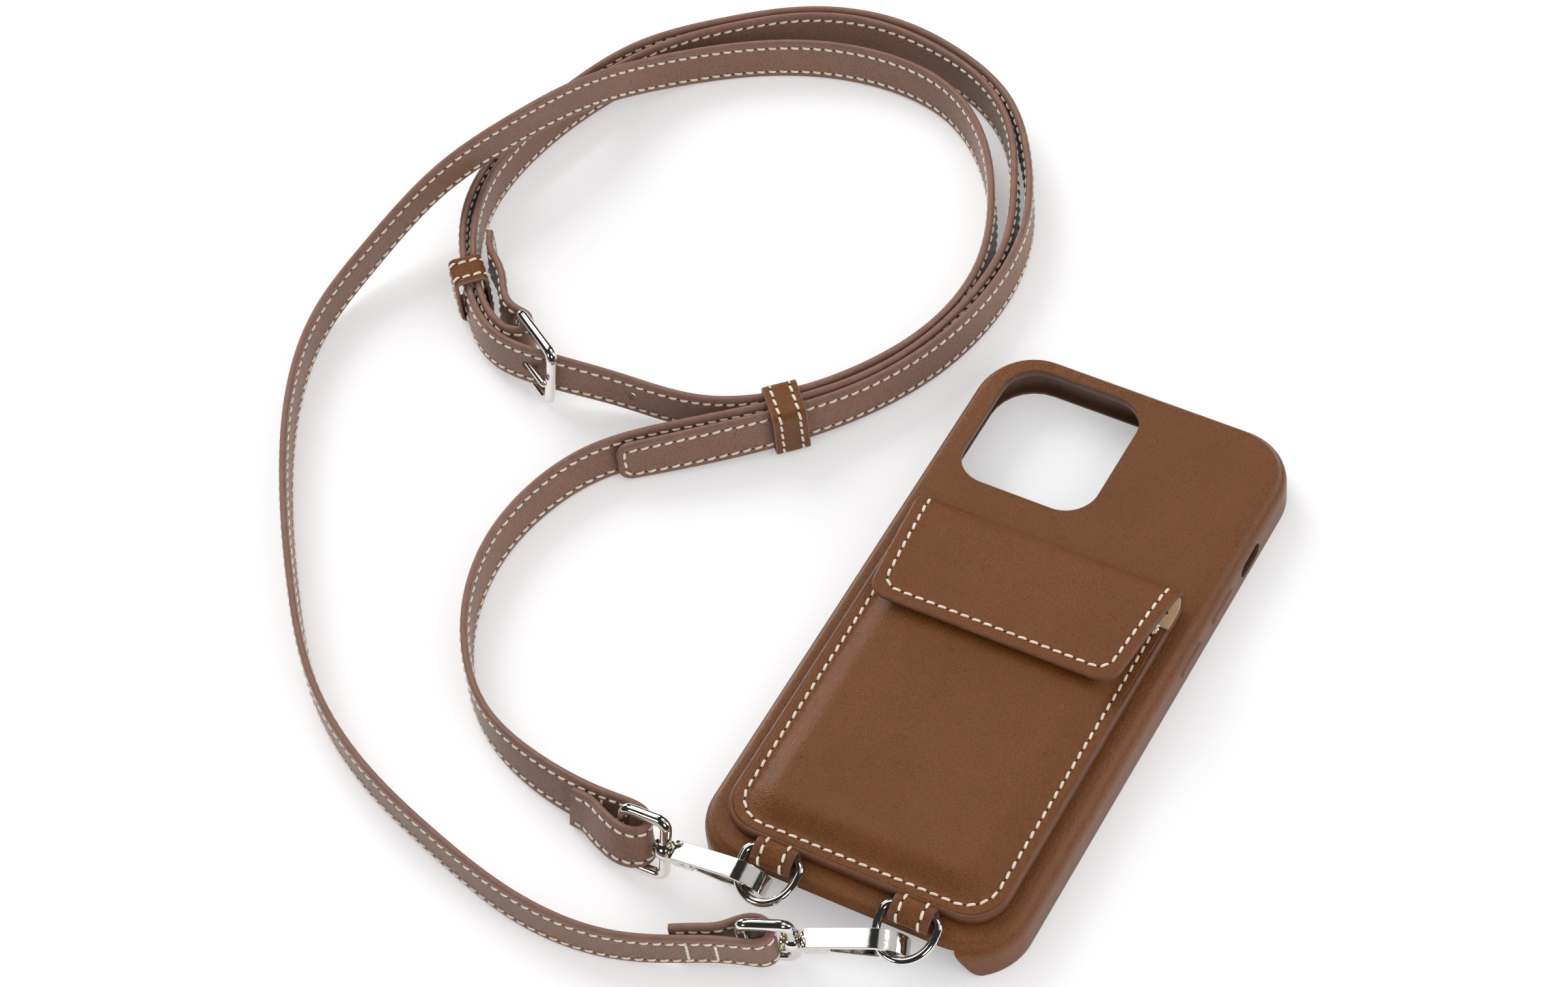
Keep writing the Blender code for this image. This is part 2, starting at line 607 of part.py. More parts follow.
def make_flap():
    hinge = empty("flap_hinge", ROOT, (0, FOLD_Y, HINGE_Z))
    head = FOLD_Y - FLAP_BEND
    upper, lower = flap_profile(0.0, FLAP_LEATHER, FLAP_FOOT, head)
    start_z = HINGE_Z + GAP
    rise = flap_height(head) - start_z
    outer = [
        (head + FLAP_BEND * math.sin(a), start_z + rise * math.cos(a))
        for a in np.linspace(0, math.pi / 2, 8)[1:]
    ]
    inner = [
        (head + (FLAP_BEND - FLAP_LEATHER) * math.sin(a),
         start_z + (rise - FLAP_LEATHER) * math.cos(a))
        for a in np.linspace(math.pi / 2, 0, 8)[:-1]
    ]
    profile = [(y - FOLD_Y, z - HINGE_Z) for y, z in upper + outer + inner + lower]
    flap = outline("flap", [profile], 2 * FLAP_X_TOP)
    place(flap, hinge, "flap leather", rotation=ALONG_X)

    def shape(inset):
        foot_x = FLAP_X_FOOT - inset
        foot_y = FLAP_FOOT + inset
        r = FLAP_CORNER - inset
        left = arc((-foot_x + r, foot_y + r), r, 180, 270, 5)
        right = arc((foot_x - r, foot_y + r), r, 270, 360, 5)
        points = [(-FLAP_X_TOP + inset, FOLD_Y)] + left + right + [(FLAP_X_TOP - inset, FOLD_Y)]
        return [(x, y - FOLD_Y + (0.5 * MM if y == FOLD_Y else 0)) for x, y in points]

    keep = place(outline("keep_flap", [shape(0)], 30 * MM), hinge)
    combine(flap, keep, "INTERSECT")
    under = FLAP_LEATHER + GAP
    upper, lower = flap_profile(under, under + SUEDE, FLAP_FOOT, head - 2 * MM)
    profile = [(y - FOLD_Y, z - HINGE_Z) for y, z in upper + lower]
    lining = outline("flap_lining", [profile], 2 * FLAP_X_TOP)
    place(lining, hinge, "suede", rotation=ALONG_X)
    combine(lining, place(outline("keep_lining", [shape(0.6 * MM)], 30 * MM), hinge), "INTERSECT")

    top = FLAP_TOP - HINGE_Z
    at = (0, MAGNET_Y - FOLD_Y)
    low = top - FLAP_LEATHER
    recess = rod("cut_flap_magnet", MAGNET_RADIUS + GAP, low - 1 * MM, low + 0.55 * MM, "Z", at, 24)
    combine(flap, place(recess, hinge))
    magnet = rod("flap_magnet", MAGNET_RADIUS, low - 0.05 * MM, low + 0.25 * MM, "Z", at, 24)
    place(magnet, hinge, "magnet")


def make_tab(side, sign):
    """A leather loop, its tongue sewn under the pocket and its fold round the ring's bar."""
    base = RING_BAR_Z - PANEL_Z
    outside = [
        (11.6, 0.0), (-2.8, 0.0), (-3.5, 0.35), (-3.9, 1.0), (-3.7, 2.0), (-3.2, 2.8),
        (-0.4, 4.35), (0.6, 4.5), (1.5, 4.3), (2.1, 3.6), (2.2, 0.9), (11.6, 0.9),
    ]
    inside = [
        (1.4, 0.7), (-2.6, 0.7), (-3.1, 1.1), (-2.9, 2.0), (-0.6, 3.4), (0.5, 3.6), (1.2, 3.4),
        (1.4, 3.0),
    ]
    loops = [[(y * MM, z * MM - base) for y, z in loop] for loop in (outside, inside)]
    tab = outline("ring_tab_" + side, loops, TAB_WIDTH)
    place(tab, ROOT, "pocket leather", location=(sign * TAB_X, RING_BAR_Y, RING_BAR_Z),
          rotation=ALONG_X)


def make_ring(side, sign):
    pivot = empty(
        "ring_pivot_" + side, ROOT, (sign * TAB_X, RING_BAR_Y, RING_BAR_Z),
        (RING_TILT[side], 0, 0),
    )
    points = [(x, -y, 0) for x, y in ring_outline()]
    place(wire("ring_" + side, points, RING_WIRE / 2, True, 3), pivot, "nickel")


def loop_points(length, height, corner):
    """A standing rectangular loop of wire: x along it, z up."""
    return [(x, 0, z) for x, z in rounded(length / 2, height / 2, corner, 4)]


STRAPS = empty("strap_group", ROOT, (0, RING_BAR_Y - ROUTES_DRAWN_FOR[0] * MM, 0))
SPREAD = {"left": -(TAB_X - ROUTES_DRAWN_FOR[1] * MM), "right": TAB_X - ROUTES_DRAWN_FOR[1] * MM}


def make_eye(side):
    """A wire loop for the strap, with a bored boss for the hook's stud."""
    centre, yaw, pitch, tilt = EYES[side]
    turn = (math.radians(-tilt), math.radians(-pitch), math.radians(yaw))
    at = Vector(centre) * MM + Vector((SPREAD[side], 0, 0))
    pivot = empty("eye_place_" + side, STRAPS, at, turn)
    points = loop_points(EYE_LENGTH, LOOP_HEIGHT, LOOP_CORNER)
    eye = place(wire("swivel_eye_" + side, points, LOOP_WIRE / 2, True, 3), pivot, "nickel")
    low = EYE_LENGTH / 2 - BOSS_LENGTH / 2
    combine(eye, place(rod("add_boss_" + side, BOSS_RADIUS, low, low + BOSS_LENGTH), pivot), "UNION")
    bore = rod("cut_boss_" + side, STUD_RADIUS + STUD_GAP, low - 1 * MM, low + BOSS_LENGTH + 1 * MM)
    combine(eye, place(bore, pivot))
    forward = Euler(turn).to_matrix() @ Vector((EYE_LENGTH / 2, 0, 0))
    return at + forward


def hook_profile():
    """The hook from its block along the back and round the nose: x along, z up."""
    top = [(0.0, 2.0), (14.6, 2.1), (16.8, 1.9), (18.9, 1.2), (20.9, 0.0), (22.5, -1.7),
           (23.3, -3.5), (23.5, -5.2)]
    under = [(22.1, -5.2), (21.9, -3.7), (21.1, -2.0), (19.8, -0.6), (18.2, 0.3), (16.4, 0.85),
             (14.6, 0.95), (5.8, 0.95), (5.5, 0.7), (5.5, -2.0), (0.0, -2.0)]
    return [(x * MM, z * MM) for x, z in top + under]


def gate_profile():
    """The lever that closes the hook, from its knuckle to inside the nose."""
    lever = [(5.9, -0.9), (10.0, -2.1), (15.0, -3.5), (20.5, -4.5), (20.8, -5.4), (18.0, -5.2),
             (14.8, -4.6), (10.0, -3.2), (5.9, -2.1)]
    return [(x * MM, z * MM) for x, z in lever]


def knuckle_profile():
    radius = 1.25 * MM
    end = [(6.1 * MM, -2.05 * MM), (6.1 * MM, -0.95 * MM)]
    return arc(PIN_AT, radius, 60, 285, 10) + end


def make_hook(side, boss):
    yaw, pitch, roll = HOOK_TURN[side]
    turn = (math.radians(roll), math.radians(-pitch), math.radians(yaw))
    forward = Euler(turn).to_matrix() @ Vector((NECK_FROM_BOSS, 0, 0))
    swivel = empty("hook_" + side, STRAPS, boss + forward, turn)
    body = outline("hook_body_" + side, [hook_profile()], HOOK_WIDTH)
    place(body, swivel, "nickel", rotation=ALONG_Y)
    collar = rod("add_collar_" + side, 2.2 * MM, -COLLAR, 0.3 * MM)
    combine(body, place(collar, swivel), "UNION")
    back = -COLLAR - 4 * GAP - BOSS_LENGTH
    stud = rod("add_stud_" + side, STUD_RADIUS, back - 0.3 * MM, 0.2 * MM)
    combine(body, place(stud, swivel), "UNION")
    head = rod("add_head_" + side, 2.0 * MM, back - 0.7 * MM, back)
    combine(body, place(head, swivel), "UNION")

    slot = outline(
        "cut_slot_" + side,
        [[(1.1 * MM, -3 * MM), (7 * MM, -3 * MM), (7 * MM, 0.93 * MM), (1.1 * MM, 0.93 * MM)]],
        KNUCKLE_WIDTH + 2 * GAP,
    )
    combine(body, place(slot, swivel, rotation=ALONG_Y))
    wide = HOOK_WIDTH / 2 + 1 * MM
    bore = rod("cut_pin_" + side, PIN_RADIUS + GAP, -wide, wide, "Y", PIN_AT, 16)
    combine(body, place(bore, swivel))

    pivot = empty("gate_pivot_" + side, swivel, (PIN_AT[0], 0, PIN_AT[1]))
    shift = [(x - PIN_AT[0], z - PIN_AT[1]) for x, z in gate_profile()]
    gate = place(outline("gate_" + side, [shift], GATE_WIDTH), pivot, "nickel", rotation=ALONG_Y)
    shift = [(x - PIN_AT[0], z - PIN_AT[1]) for x, z in knuckle_profile()]
    knuckle = place(outline("add_knuckle_" + side, [shift], KNUCKLE_WIDTH), pivot, rotation=ALONG_Y)
    combine(gate, knuckle, "UNION")
    combine(gate, bore)
    half = HOOK_WIDTH / 2
    pin = rod("gate_pin_" + side, PIN_RADIUS, -half, half, "Y", PIN_AT, 16)
    place(pin, swivel, "nickel")


def smooth_route(knots, step):
    """Reads a natural cubic spline through the knots, with a point about every step."""
    knots = np.array(knots, float)
    at = np.concatenate([[0], np.cumsum(np.linalg.norm(np.diff(knots[:, :2], axis=0), axis=1))])
    span = np.diff(at)
    count = len(knots)
    system = np.eye(count)
    right = np.zeros_like(knots)
    for i in range(1, count - 1):
        system[i, i - 1 : i + 2] = (span[i - 1], 2 * (span[i - 1] + span[i]), span[i])
        slopes = np.diff(knots[i - 1 : i + 2], axis=0) / span[i - 1 : i + 1, None]
        right[i] = 6 * (slopes[1] - slopes[0])
    bend = np.linalg.solve(system, right)
    rows = []
    for i in range(count - 1):
        pieces = max(1, round(span[i] / min(step, max(1.6, span[i] / 2))))
        for share in np.arange(pieces) / pieces:
            u = share * span[i]
            v = span[i] - u
            h = span[i]
            rows.append(
                bend[i] * v**3 / (6 * h) + bend[i + 1] * u**3 / (6 * h)
                + (knots[i] / h - bend[i] * h / 6) * v + (knots[i + 1] / h - bend[i + 1] * h / 6) * u
            )
    rows.append(knots[-1])
    return np.array(rows)


def with_spread(knots, side, fade=60.0):
    """Moves the end of a route with its ring, less and less along the route."""
    moved = []
    first = knots[0]
    for x, y, lift, lean in knots:
        share = max(0.0, 1 - math.dist((x, y), first[:2]) / fade)
        moved.append((x + SPREAD[side] / MM * share, y, lift, lean))
    return moved


def strap_points(rows):
    """The strap's centreline and tilt at each row, with its foot on or over the ground."""
    half = STRAP_WIDTH / 2
    points = []
    tilts = []
    tangents = np.gradient(rows[:, :2], axis=0)
    tangents /= np.linalg.norm(tangents, axis=1)[:, None]
    for (x, y, lift, lean), (tx, ty) in zip(rows, tangents):
        lean = math.radians(lean)
        shift = half * math.sin(lean)
        height = STRAP_WIDTH + lift * MM - half * math.cos(lean)
        points.append((x * MM - ty * shift, y * MM + tx * shift, height))
        tilts.append(lean)
    return points, tilts


def make_strap(name, rows):
    points, tilts = strap_points(rows)
    curve = bpy.data.curves.new(name, "CURVE")
    curve.dimensions = "3D"
    curve.twist_mode = "Z_UP"
    curve.bevel_depth = STRAP_THICKNESS / 2
    curve.extrude = STRAP_WIDTH / 2 - curve.bevel_depth
    curve.bevel_resolution = 1
    curve.use_fill_caps = True
    spline = curve.splines.new("POLY")
    spline.points.add(len(points) - 1)
    for point, at, tilt in zip(spline.points, points, tilts):
        point.co = (*at, 1)
        point.tilt = tilt
    return mesh_of_curve(bpy.data.objects.new(name, curve)), points


def crossing(points, centre, yaw):
    """How far along a strap it crosses the buckle's middle plane."""
    normal = (-math.sin(yaw), math.cos(yaw))
    best = None
    for k, (a, b) in enumerate(zip(points, points[1:])):
        sides = [
            (p[0] - centre[0]) * normal[0] + (p[1] - centre[1]) * normal[1] for p in (a, b)
        ]
        away = math.dist(a[:2], centre[:2])
        if sides[0] * sides[1] <= 0 and away < BUCKLE_LENGTH:
            if best is None or away < best[1]:
                best = (k, away)
    return best[0]


def along(points, start, distance):
    """The place and heading at a distance along a strap from one of its points."""
    k = start
    step = 1 if distance >= 0 else -1
    left = abs(distance)
    while left > math.dist(points[k], points[k + step]):
        left -= math.dist(points[k], points[k + step])
        k += step
    a = Vector(points[k])
    b = Vector(points[k + step])
    return a + (b - a).normalized() * left, (b - a) * step


def make_buckle(long_strap, long_points, short_strap):
    centre, yaw, pitch, tilt = BUCKLE
    turn = (math.radians(-tilt), math.radians(-pitch), math.radians(yaw))
    frame = empty("buckle_place", STRAPS, Vector(centre) * MM, turn)
    points = loop_points(BUCKLE_LENGTH, LOOP_HEIGHT, LOOP_CORNER)
    place(wire("buckle_frame", points, LOOP_WIRE / 2, True, 3), frame, "nickel")

    heel = -BUCKLE_LENGTH / 2
    pivot = empty("prong_pivot", frame, (heel, 0, 0))
    reach = LOOP_WIRE / 2 + GAP + PRONG_WIRE / 2
    curl = arc((0, 0), reach, 75, 295, 12)
    tip = (BUCKLE_LENGTH + 1.0 * MM, -reach)
    path = curl + [(BUCKLE_LENGTH / 2, -reach), tip]
    prong = wire("buckle_prong", [(x, y, 0) for x, y in path], PRONG_WIRE / 2)
    place(prong, pivot, "nickel")
    window = plate(
        "cut_window", (4.2 * MM, 9.0 * MM), (-PRONG_WIRE / 2 - GAP, PRONG_WIRE / 2 + GAP),
        1 * MM, centre=(0.6 * MM, 0.0), segments=2,
    )
    combine(short_strap, place(window, pivot))

    slot = rod("cut_prong_slot", PRONG_WIRE / 2 + GAP, 0.3 * MM, BUCKLE_LENGTH, "X", (-reach, 0), 12)
    combine(long_strap, place(slot, pivot))
    heading = math.radians(yaw)
    front = Vector(centre) * MM + Vector((math.sin(heading), -math.cos(heading), 0)) * reach
    start = crossing(long_points, front, heading)
    for number, distance in enumerate(HOLES_FROM_PRONG):
        at, direction = along(long_points, start, distance)
        bore = rod("cut_hole_%d" % number, STRAP_HOLE / 2, -3 * MM, 3 * MM, "Y", (0, 0), 12)
        turn = (0, 0, math.atan2(direction[1], direction[0]))
        combine(long_strap, place(bore, STRAPS, location=at, rotation=turn))


def plies_inside(routes, centre, heading):
    """How far across a keeper the straps reach, over the keeper's length."""
    across = np.array([-heading[1], heading[0]])
    found = []
    for rows in routes:
        points, tilts = strap_points(rows)
        xy = np.array(points)[:, :2]
        sway = STRAP_WIDTH / 2 * np.sin(tilts)
        tangents = np.gradient(xy, axis=0)
        tangents /= np.linalg.norm(tangents, axis=1)[:, None]
        normals = np.stack([-tangents[:, 1], tangents[:, 0]], 1)
        for end in (-1, 1):
            edge = xy + normals * (sway * end)[:, None] - centre[:2]
            s = edge @ heading
            t = edge @ across
            for i in range(len(s) - 1):
                for share in np.linspace(0, 1, 9):
                    at = s[i] * (1 - share) + s[i + 1] * share
                    off = t[i] * (1 - share) + t[i + 1] * share
                    if abs(at) < KEEPER_LENGTH / 2 and abs(off) < 8 * MM:
                        found.append(off)
    return min(found), max(found)


def make_keeper(name, keeper, routes):
    """A leather band round the plies that pass a place."""
    x, y, height, heading_angle = keeper
    angle = math.radians(heading_angle)
    heading = np.array([math.cos(angle), math.sin(angle)])
    centre = np.array([x * MM, y * MM, height * MM])
    low, high = plies_inside(routes, centre, heading)
    middle = (low + high) / 2
    half_y = (high - low) / 2 + STRAP_THICKNESS / 2 + KEEPER_ROOM
    half_z = STRAP_WIDTH / 2 + KEEPER_ROOM
    outside = rounded(half_y + KEEPER_LEATHER, half_z + KEEPER_LEATHER, 1.6 * MM, 3)
    inside = rounded(half_y, half_z, 0.6 * MM, 2)
    band = outline(name, [outside, inside], KEEPER_LENGTH)
    at = (centre[0] - heading[1] * middle, centre[1] + heading[0] * middle, centre[2])
    place(band, STRAPS, "strap leather", location=at, rotation=(math.pi / 2, 0, angle + math.pi / 2))


def make_keepers(long_rows, short_rows):
    fold = len(short_rows) - next(
        i for i, row in enumerate(short_rows[::-1]) if math.dist(row[:2], BUCKLE_FOLD[3][:2]) < 0.5
    )
    main = short_rows[:fold]
    make_keeper("fixed_keeper", FIXED_KEEPER, [long_rows, main])
    make_keeper("sliding_keeper", SLIDING_KEEPER, [long_rows, main])


def make_straps():
    """Both straps in one piece each, with their ends folded back round the loops."""
    long_rows = smooth_route(with_spread(RIGHT_FOLD + LONG_ROUTE, "right"), ROUTE_STEP)
    short_rows = smooth_route(with_spread(LEFT_FOLD + SHORT_ROUTE, "left") + BUCKLE_FOLD, ROUTE_STEP)
    long_strap, long_points = make_strap("strap_long", long_rows)
    short_strap, _ = make_strap("strap_short", short_rows)
    place(long_strap, STRAPS, "strap leather")
    place(short_strap, STRAPS, "strap leather")
    make_buckle(long_strap, long_points, short_strap)
    make_keepers(long_rows, short_rows)


make_case()
make_pocket_back()
make_pocket_front()
make_flap()
for SIDE, SIGN in (("left", -1), ("right", 1)):
    make_tab(SIDE, SIGN)
    make_ring(SIDE, SIGN)
    make_hook(SIDE, make_eye(SIDE))
make_straps()
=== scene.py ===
"""The looks of a crossbody phone case: grained leather with painted edges, cream thread, suede
lining and polished metal. Shapes are in millimetres from the middle of the case, then placed.
"""

import math

import bmesh
import bpy
import numpy as np
from mathutils import Euler, Matrix, Vector


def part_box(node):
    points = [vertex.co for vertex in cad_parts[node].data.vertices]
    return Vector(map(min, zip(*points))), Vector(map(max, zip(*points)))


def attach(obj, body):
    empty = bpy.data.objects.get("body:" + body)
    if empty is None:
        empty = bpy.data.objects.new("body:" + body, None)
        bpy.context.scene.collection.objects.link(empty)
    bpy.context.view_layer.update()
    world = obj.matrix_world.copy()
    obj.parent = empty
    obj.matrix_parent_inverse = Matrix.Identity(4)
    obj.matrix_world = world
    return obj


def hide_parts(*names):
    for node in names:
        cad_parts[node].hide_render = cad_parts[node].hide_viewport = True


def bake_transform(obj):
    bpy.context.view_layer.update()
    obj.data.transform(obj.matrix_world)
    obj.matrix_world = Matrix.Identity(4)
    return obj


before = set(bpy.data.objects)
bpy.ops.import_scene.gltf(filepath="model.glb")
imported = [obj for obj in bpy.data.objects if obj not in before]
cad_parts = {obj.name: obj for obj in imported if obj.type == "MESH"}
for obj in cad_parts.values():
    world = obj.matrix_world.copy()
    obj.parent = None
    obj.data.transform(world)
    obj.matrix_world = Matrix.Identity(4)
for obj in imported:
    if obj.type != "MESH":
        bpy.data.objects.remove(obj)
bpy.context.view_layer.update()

MM = 0.001
UPWARDS = np.array([0, 0, 1.0])
WRAP_LOW, WRAP_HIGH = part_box("leather_wrap")
CENTRE = Vector(((WRAP_LOW.x + WRAP_HIGH.x) / 2, (WRAP_LOW.y + WRAP_HIGH.y) / 2, 0))
CASE_X = (WRAP_HIGH.x - WRAP_LOW.x) / 2 / MM
CASE_Y = (WRAP_HIGH.y - WRAP_LOW.y) / 2 / MM
CASE_TOP = WRAP_HIGH.z / MM

# Case
CASE_CORNER = 15.2
WRAP = 0.7
BACK_FILLET = 4.7
RIM_FILLET = 0.6
SHOULDER = ((0.24, 62.0, 10.0), (-0.28, 38.0, 8.0), (-0.1, 88.0, 9.0))
CAMERA_SIZE = (36.1, 37.7)
CAMERA_INSET = (6.8, 5.75)
CAMERA_CORNER = 8.5
PORT_HALF_BACK = 29.0
PORT_HALF_RIM = 34.5
PORT_TOP = CASE_TOP - 2.2
MUTE = (49.7, 4.4, 10.0, 4.4)
BUTTON_Z = 4.6
BUTTON_HEIGHT = 2.6
BUTTON_PROUD = 0.4
BUTTON_STEEP = 1.35
BUTTON_RIM = 0.45
BUTTON_RUN = 1.35
# Node, body, side, middle along the case, length
BUTTONS = [
    ("volume_up_button", "volume_up", 1, 34.3, 11.0), ("volume_down_button", "volume_down", 1, 17.1, 11.0),
    ("side_button", "side_key", -1, 25.0, 17.0),
]

# Pocket
POCKET_X = 35.6
POCKET_FOOT = CASE_Y - 6.95
POCKET_CORNER = 9.5
PANEL_Z = CASE_TOP + 0.3
PANEL = 0.9
FRONT_Z = PANEL_Z + PANEL + 0.3
FLANGE_TOP = FRONT_Z + 1.0
FLANGE_WIDTH = 4.3
BULGE = 2.7
BULGE_SLOPE = 6.4
MOUTH_Y = 16.5
FOLD_Y = 26.5
FOLD_RADIUS = 3.1
HINGE_Z = PANEL_Z + FOLD_RADIUS
FLAP_TOP = FLANGE_TOP + BULGE + 2.8
FLAP_FOOT = -6.8
FLAP_X_TOP = 35.0
FLAP_X_FOOT = 32.2
FLAP_CORNER = 5.2
FLAP_LEATHER = 1.3
FLAP_BEND = 6.5
EDGE_CREASE = 0.06
SEAM_Y = 12.2
SEW_INSET = 3.2

# Insets of the rings over a sewn margin
MARGIN = (3.5, 3.2, 2.9, 2.6, 2.1, 1.5, 1.0)

# Thread: how far apart stitches are, how long and thick, and half of a needle hole's length and width
PITCH = 3.0
STITCH = 2.3
THREAD = 0.33
SLANT = 7.0
NEEDLE = (0.5, 0.26)

# Tabs and rings
TAB_X = 17.7
TAB_WIDTH = 10.4
TAB_LEATHER = 0.92
TAB_SEW = 2.4
TAB_RUN = [
    (2.5, 0.45), (1.0, 0.45), (-1.0, 0.45), (-2.4, 0.45), (-3.2, 0.7), (-3.45, 1.35), (-3.25, 2.2),
    (-2.4, 3.0), (-0.9, 3.75), (0.4, 4.05), (1.25, 3.8), (1.7, 3.1), (1.78, 2.1), (1.8, 1.25),
]
RING_WIRE = 2.2
RING_HALF_WIDTH = 7.0
RING_SHOULDER = 2.6
RING_LENGTH = 12.0
RING_BAR = (-(POCKET_FOOT + 2.6), PANEL_Z + 2.1)
RING_TILT = {"left": 18.0, "right": 21.0}

# Strap, loops and hooks
STRAP_WIDTH = 12.0
STRAP_THICKNESS = 1.75
STRAP_SEW = 2.0
SEW_LINE = STRAP_WIDTH / 2 - STRAP_SEW
STRAP_START = 1.2
STRAP_CREASE = 0.1
FOLD_BACK = (18.0, 80.0)
STRAP_TIP = 3.8
LOOP_WIRE = 2.8
LOOP_HEIGHT = STRAP_WIDTH + 0.6 + LOOP_WIRE
LOOP_CORNER = 2.2
EYE_LENGTH = 11.4
BARREL = [
    (4.1, 1.62), (4.1, 2.1), (4.3, 2.4), (4.8, 2.58), (5.7, 2.66), (6.6, 2.58), (7.0, 2.4), (7.2, 2.1),
    (7.2, 1.62),
]
BUCKLE_LENGTH = 18.0
PRONG_WIRE = 1.8
HOOK_WIDTH = 4.9
HOOK_BACK = [
    (12.0, 2.12), (14.6, 2.1), (16.8, 1.9), (18.9, 1.2), (20.9, 0.0), (22.5, -1.7), (23.3, -3.5),
    (23.5, -5.2),
]
HOOK_INSIDE = [
    (22.1, -5.2), (21.9, -3.7), (21.1, -2.0), (19.8, -0.6), (18.2, 0.3), (16.4, 0.85), (14.6, 0.95),
    (12.0, 0.95),
]
GATE_SLOT = ([(1.1, -3.0), (7.0, -3.0), (7.0, 0.93), (1.1, 0.93)], 2.9)
GATE_WIDTH = 4.3
KNUCKLE_WIDTH = 2.3
KNUCKLE_RADIUS = 1.25
PIN_AT = (3.0, -0.6)
NECK_RADIUS = 1.2
NECK_LENGTH = 4.7
NECK_FROM_BOSS = 2.6
EYES = {
    "right": ((-10.1, -96.7, 9.4), (7.0, -2.0, 22.0)),
    "left": ((-48.6, -85.8, 9.5), (-19.0, -2.5, 0.5)),
}
HOOK_TURN = {"right": (10.0, -7.4, 20.6), "left": (10.0, -10.8, -0.4)}
BUCKLE = ((-145.8, 28.4, 10.0), (-12.0, -3.0, -31.8))

# Where each strap's top edge runs: x, y, how far it is lifted, how far its foot leans
RIGHT_FOLD = [
    (-31.0, -105.0, 0.9, 4), (-24.9, -102.6, 2.0, 5), (-20.4, -100.6, 2.7, 6),
    (-17.6, -98.1, 3.1, 6), (-15.0, -95.9, 3.3, 6), (-11.8, -95.1, 3.3, 6),
    (-9.4, -96.2, 3.3, 4), (-8.4, -98.3, 3.3, 0), (-9.4, -100.5, 3.3, -4),
    (-12.4, -102.1, 3.3, -6),
]
LONG_ROUTE = [
    (-19.4, -104.1, 2.6, -6), (-29.5, -107.6, 1.0, -5), (-42.5, -111.6, 0.0, -3),
    (-65.9, -112.3, 0.0, 2), (-92.8, -105.9, 0.0, 0), (-120.3, -95.5, 0.0, 0),
    (-143.1, -80.6, 0.0, 0), (-162.6, -59.3, 0.0, 0), (-184.1, -29.5, 0.0, 0),
    (-198.2, -3.1, 0.0, 0), (-204.0, 19.2, 0.2, 1), (-202.0, 41.0, 3.5, 2),
    (-194.8, 62.9, 10.8, 4), (-185.3, 85.5, 12.7, 4), (-176.8, 108.0, 9.1, 1),
    (-168.3, 126.8, 2.2, -2), (-153.9, 140.8, 0.0, -4), (-133.4, 151.6, 0.0, -7),
    (-111.9, 155.7, 0.0, -9), (-92.8, 152.4, 0.0, -9), (-77.3, 140.9, 0.0, -6),
    (-65.0, 122.0, 0.0, 0), (-58.1, 100.5, 0.0, 4), (-59.5, 79.7, 0.0, 5),
    (-68.8, 58.7, 0.6, 4), (-82.0, 42.2, 1.8, 4), (-99.6, 33.1, 0.9, 4),
    (-122.7, 30.1, 1.5, 4), (-145.6, 26.4, 4.2, 8), (-154.3, 27.4, 3.6, 9), (-162.9, 31.6, 2.5, 8),
    (-176.9, 46.1, 1.8, 3), (-187.3, 64.2, 0.4, 0), (-190.1, 85.3, 0.0, 0),
    (-185.2, 109.3, 0.0, 0), (-175.4, 132.2, 0.0, -1), (-158.8, 149.3, 0.0, -3),
    (-138.4, 163.0, 0.0, -6), (-118.0, 167.9, 0.0, -8), (-96.6, 164.9, 0.0, -8),
    (-77.5, 155.8, 0.0, -5), (-63.6, 139.7, 0.0, -2), (-53.6, 118.2, 0.0, 2),
    (-51.6, 96.6, 0.0, 5), (-56.9, 72.5, 0.0, 6), (-68.3, 50.5, 0.9, 5),
    (-85.9, 31.8, 1.5, 10), (-112.0, 10.5, 0.0, 5),
]
LEFT_FOLD = [
    (-69.9, -81.6, 0.3, -13), (-64.9, -82.2, 1.2, -16), (-60.4, -84.2, 2.2, -18),
    (-56.0, -86.2, 3.0, -18), (-52.0, -86.9, 3.3, -18), (-49.0, -85.7, 3.3, -12),
    (-48.3, -83.6, 3.3, 0), (-49.2, -81.6, 3.3, 12), (-52.0, -80.3, 3.3, 18),
    (-56.6, -79.6, 2.4, 18),
]
SHORT_ROUTE = [
    (-62.6, -79.2, 1.3, 18), (-83.9, -76.3, 0.0, 13), (-100.4, -70.3, 0.0, 4),
    (-113.2, -58.6, 0.0, 0), (-122.3, -42.8, 0.0, -3), (-126.3, -25.1, 0.0, -6),
    (-124.5, -7.4, 0.0, -8), (-117.4, 8.6, 0.0, -9), (-103.7, 22.1, 0.5, -10),
    (-84.4, 36.8, 1.8, -7), (-69.9, 52.2, 1.1, -5), (-60.1, 70.6, 0.1, -5),
    (-55.2, 90.7, 0.0, -5), (-55.3, 110.0, 0.0, -3), (-62.1, 129.1, 0.0, 0),
    (-72.2, 146.5, 0.0, 3), (-85.3, 157.8, 0.0, 6), (-102.3, 163.8, 0.0, 8),
    (-120.7, 165.3, 0.0, 8), (-138.0, 160.8, 0.0, 6), (-154.4, 149.8, 0.0, 4),
    (-169.6, 134.4, 0.0, 1), (-179.5, 116.2, 0.0, 0), (-185.9, 94.7, 0.0, 0),
    (-186.9, 75.7, 0.0, 0), (-181.6, 58.8, 1.1, -2), (-171.5, 43.2, 2.0, -5),
    (-161.0, 33.4, 2.8, -9),
]
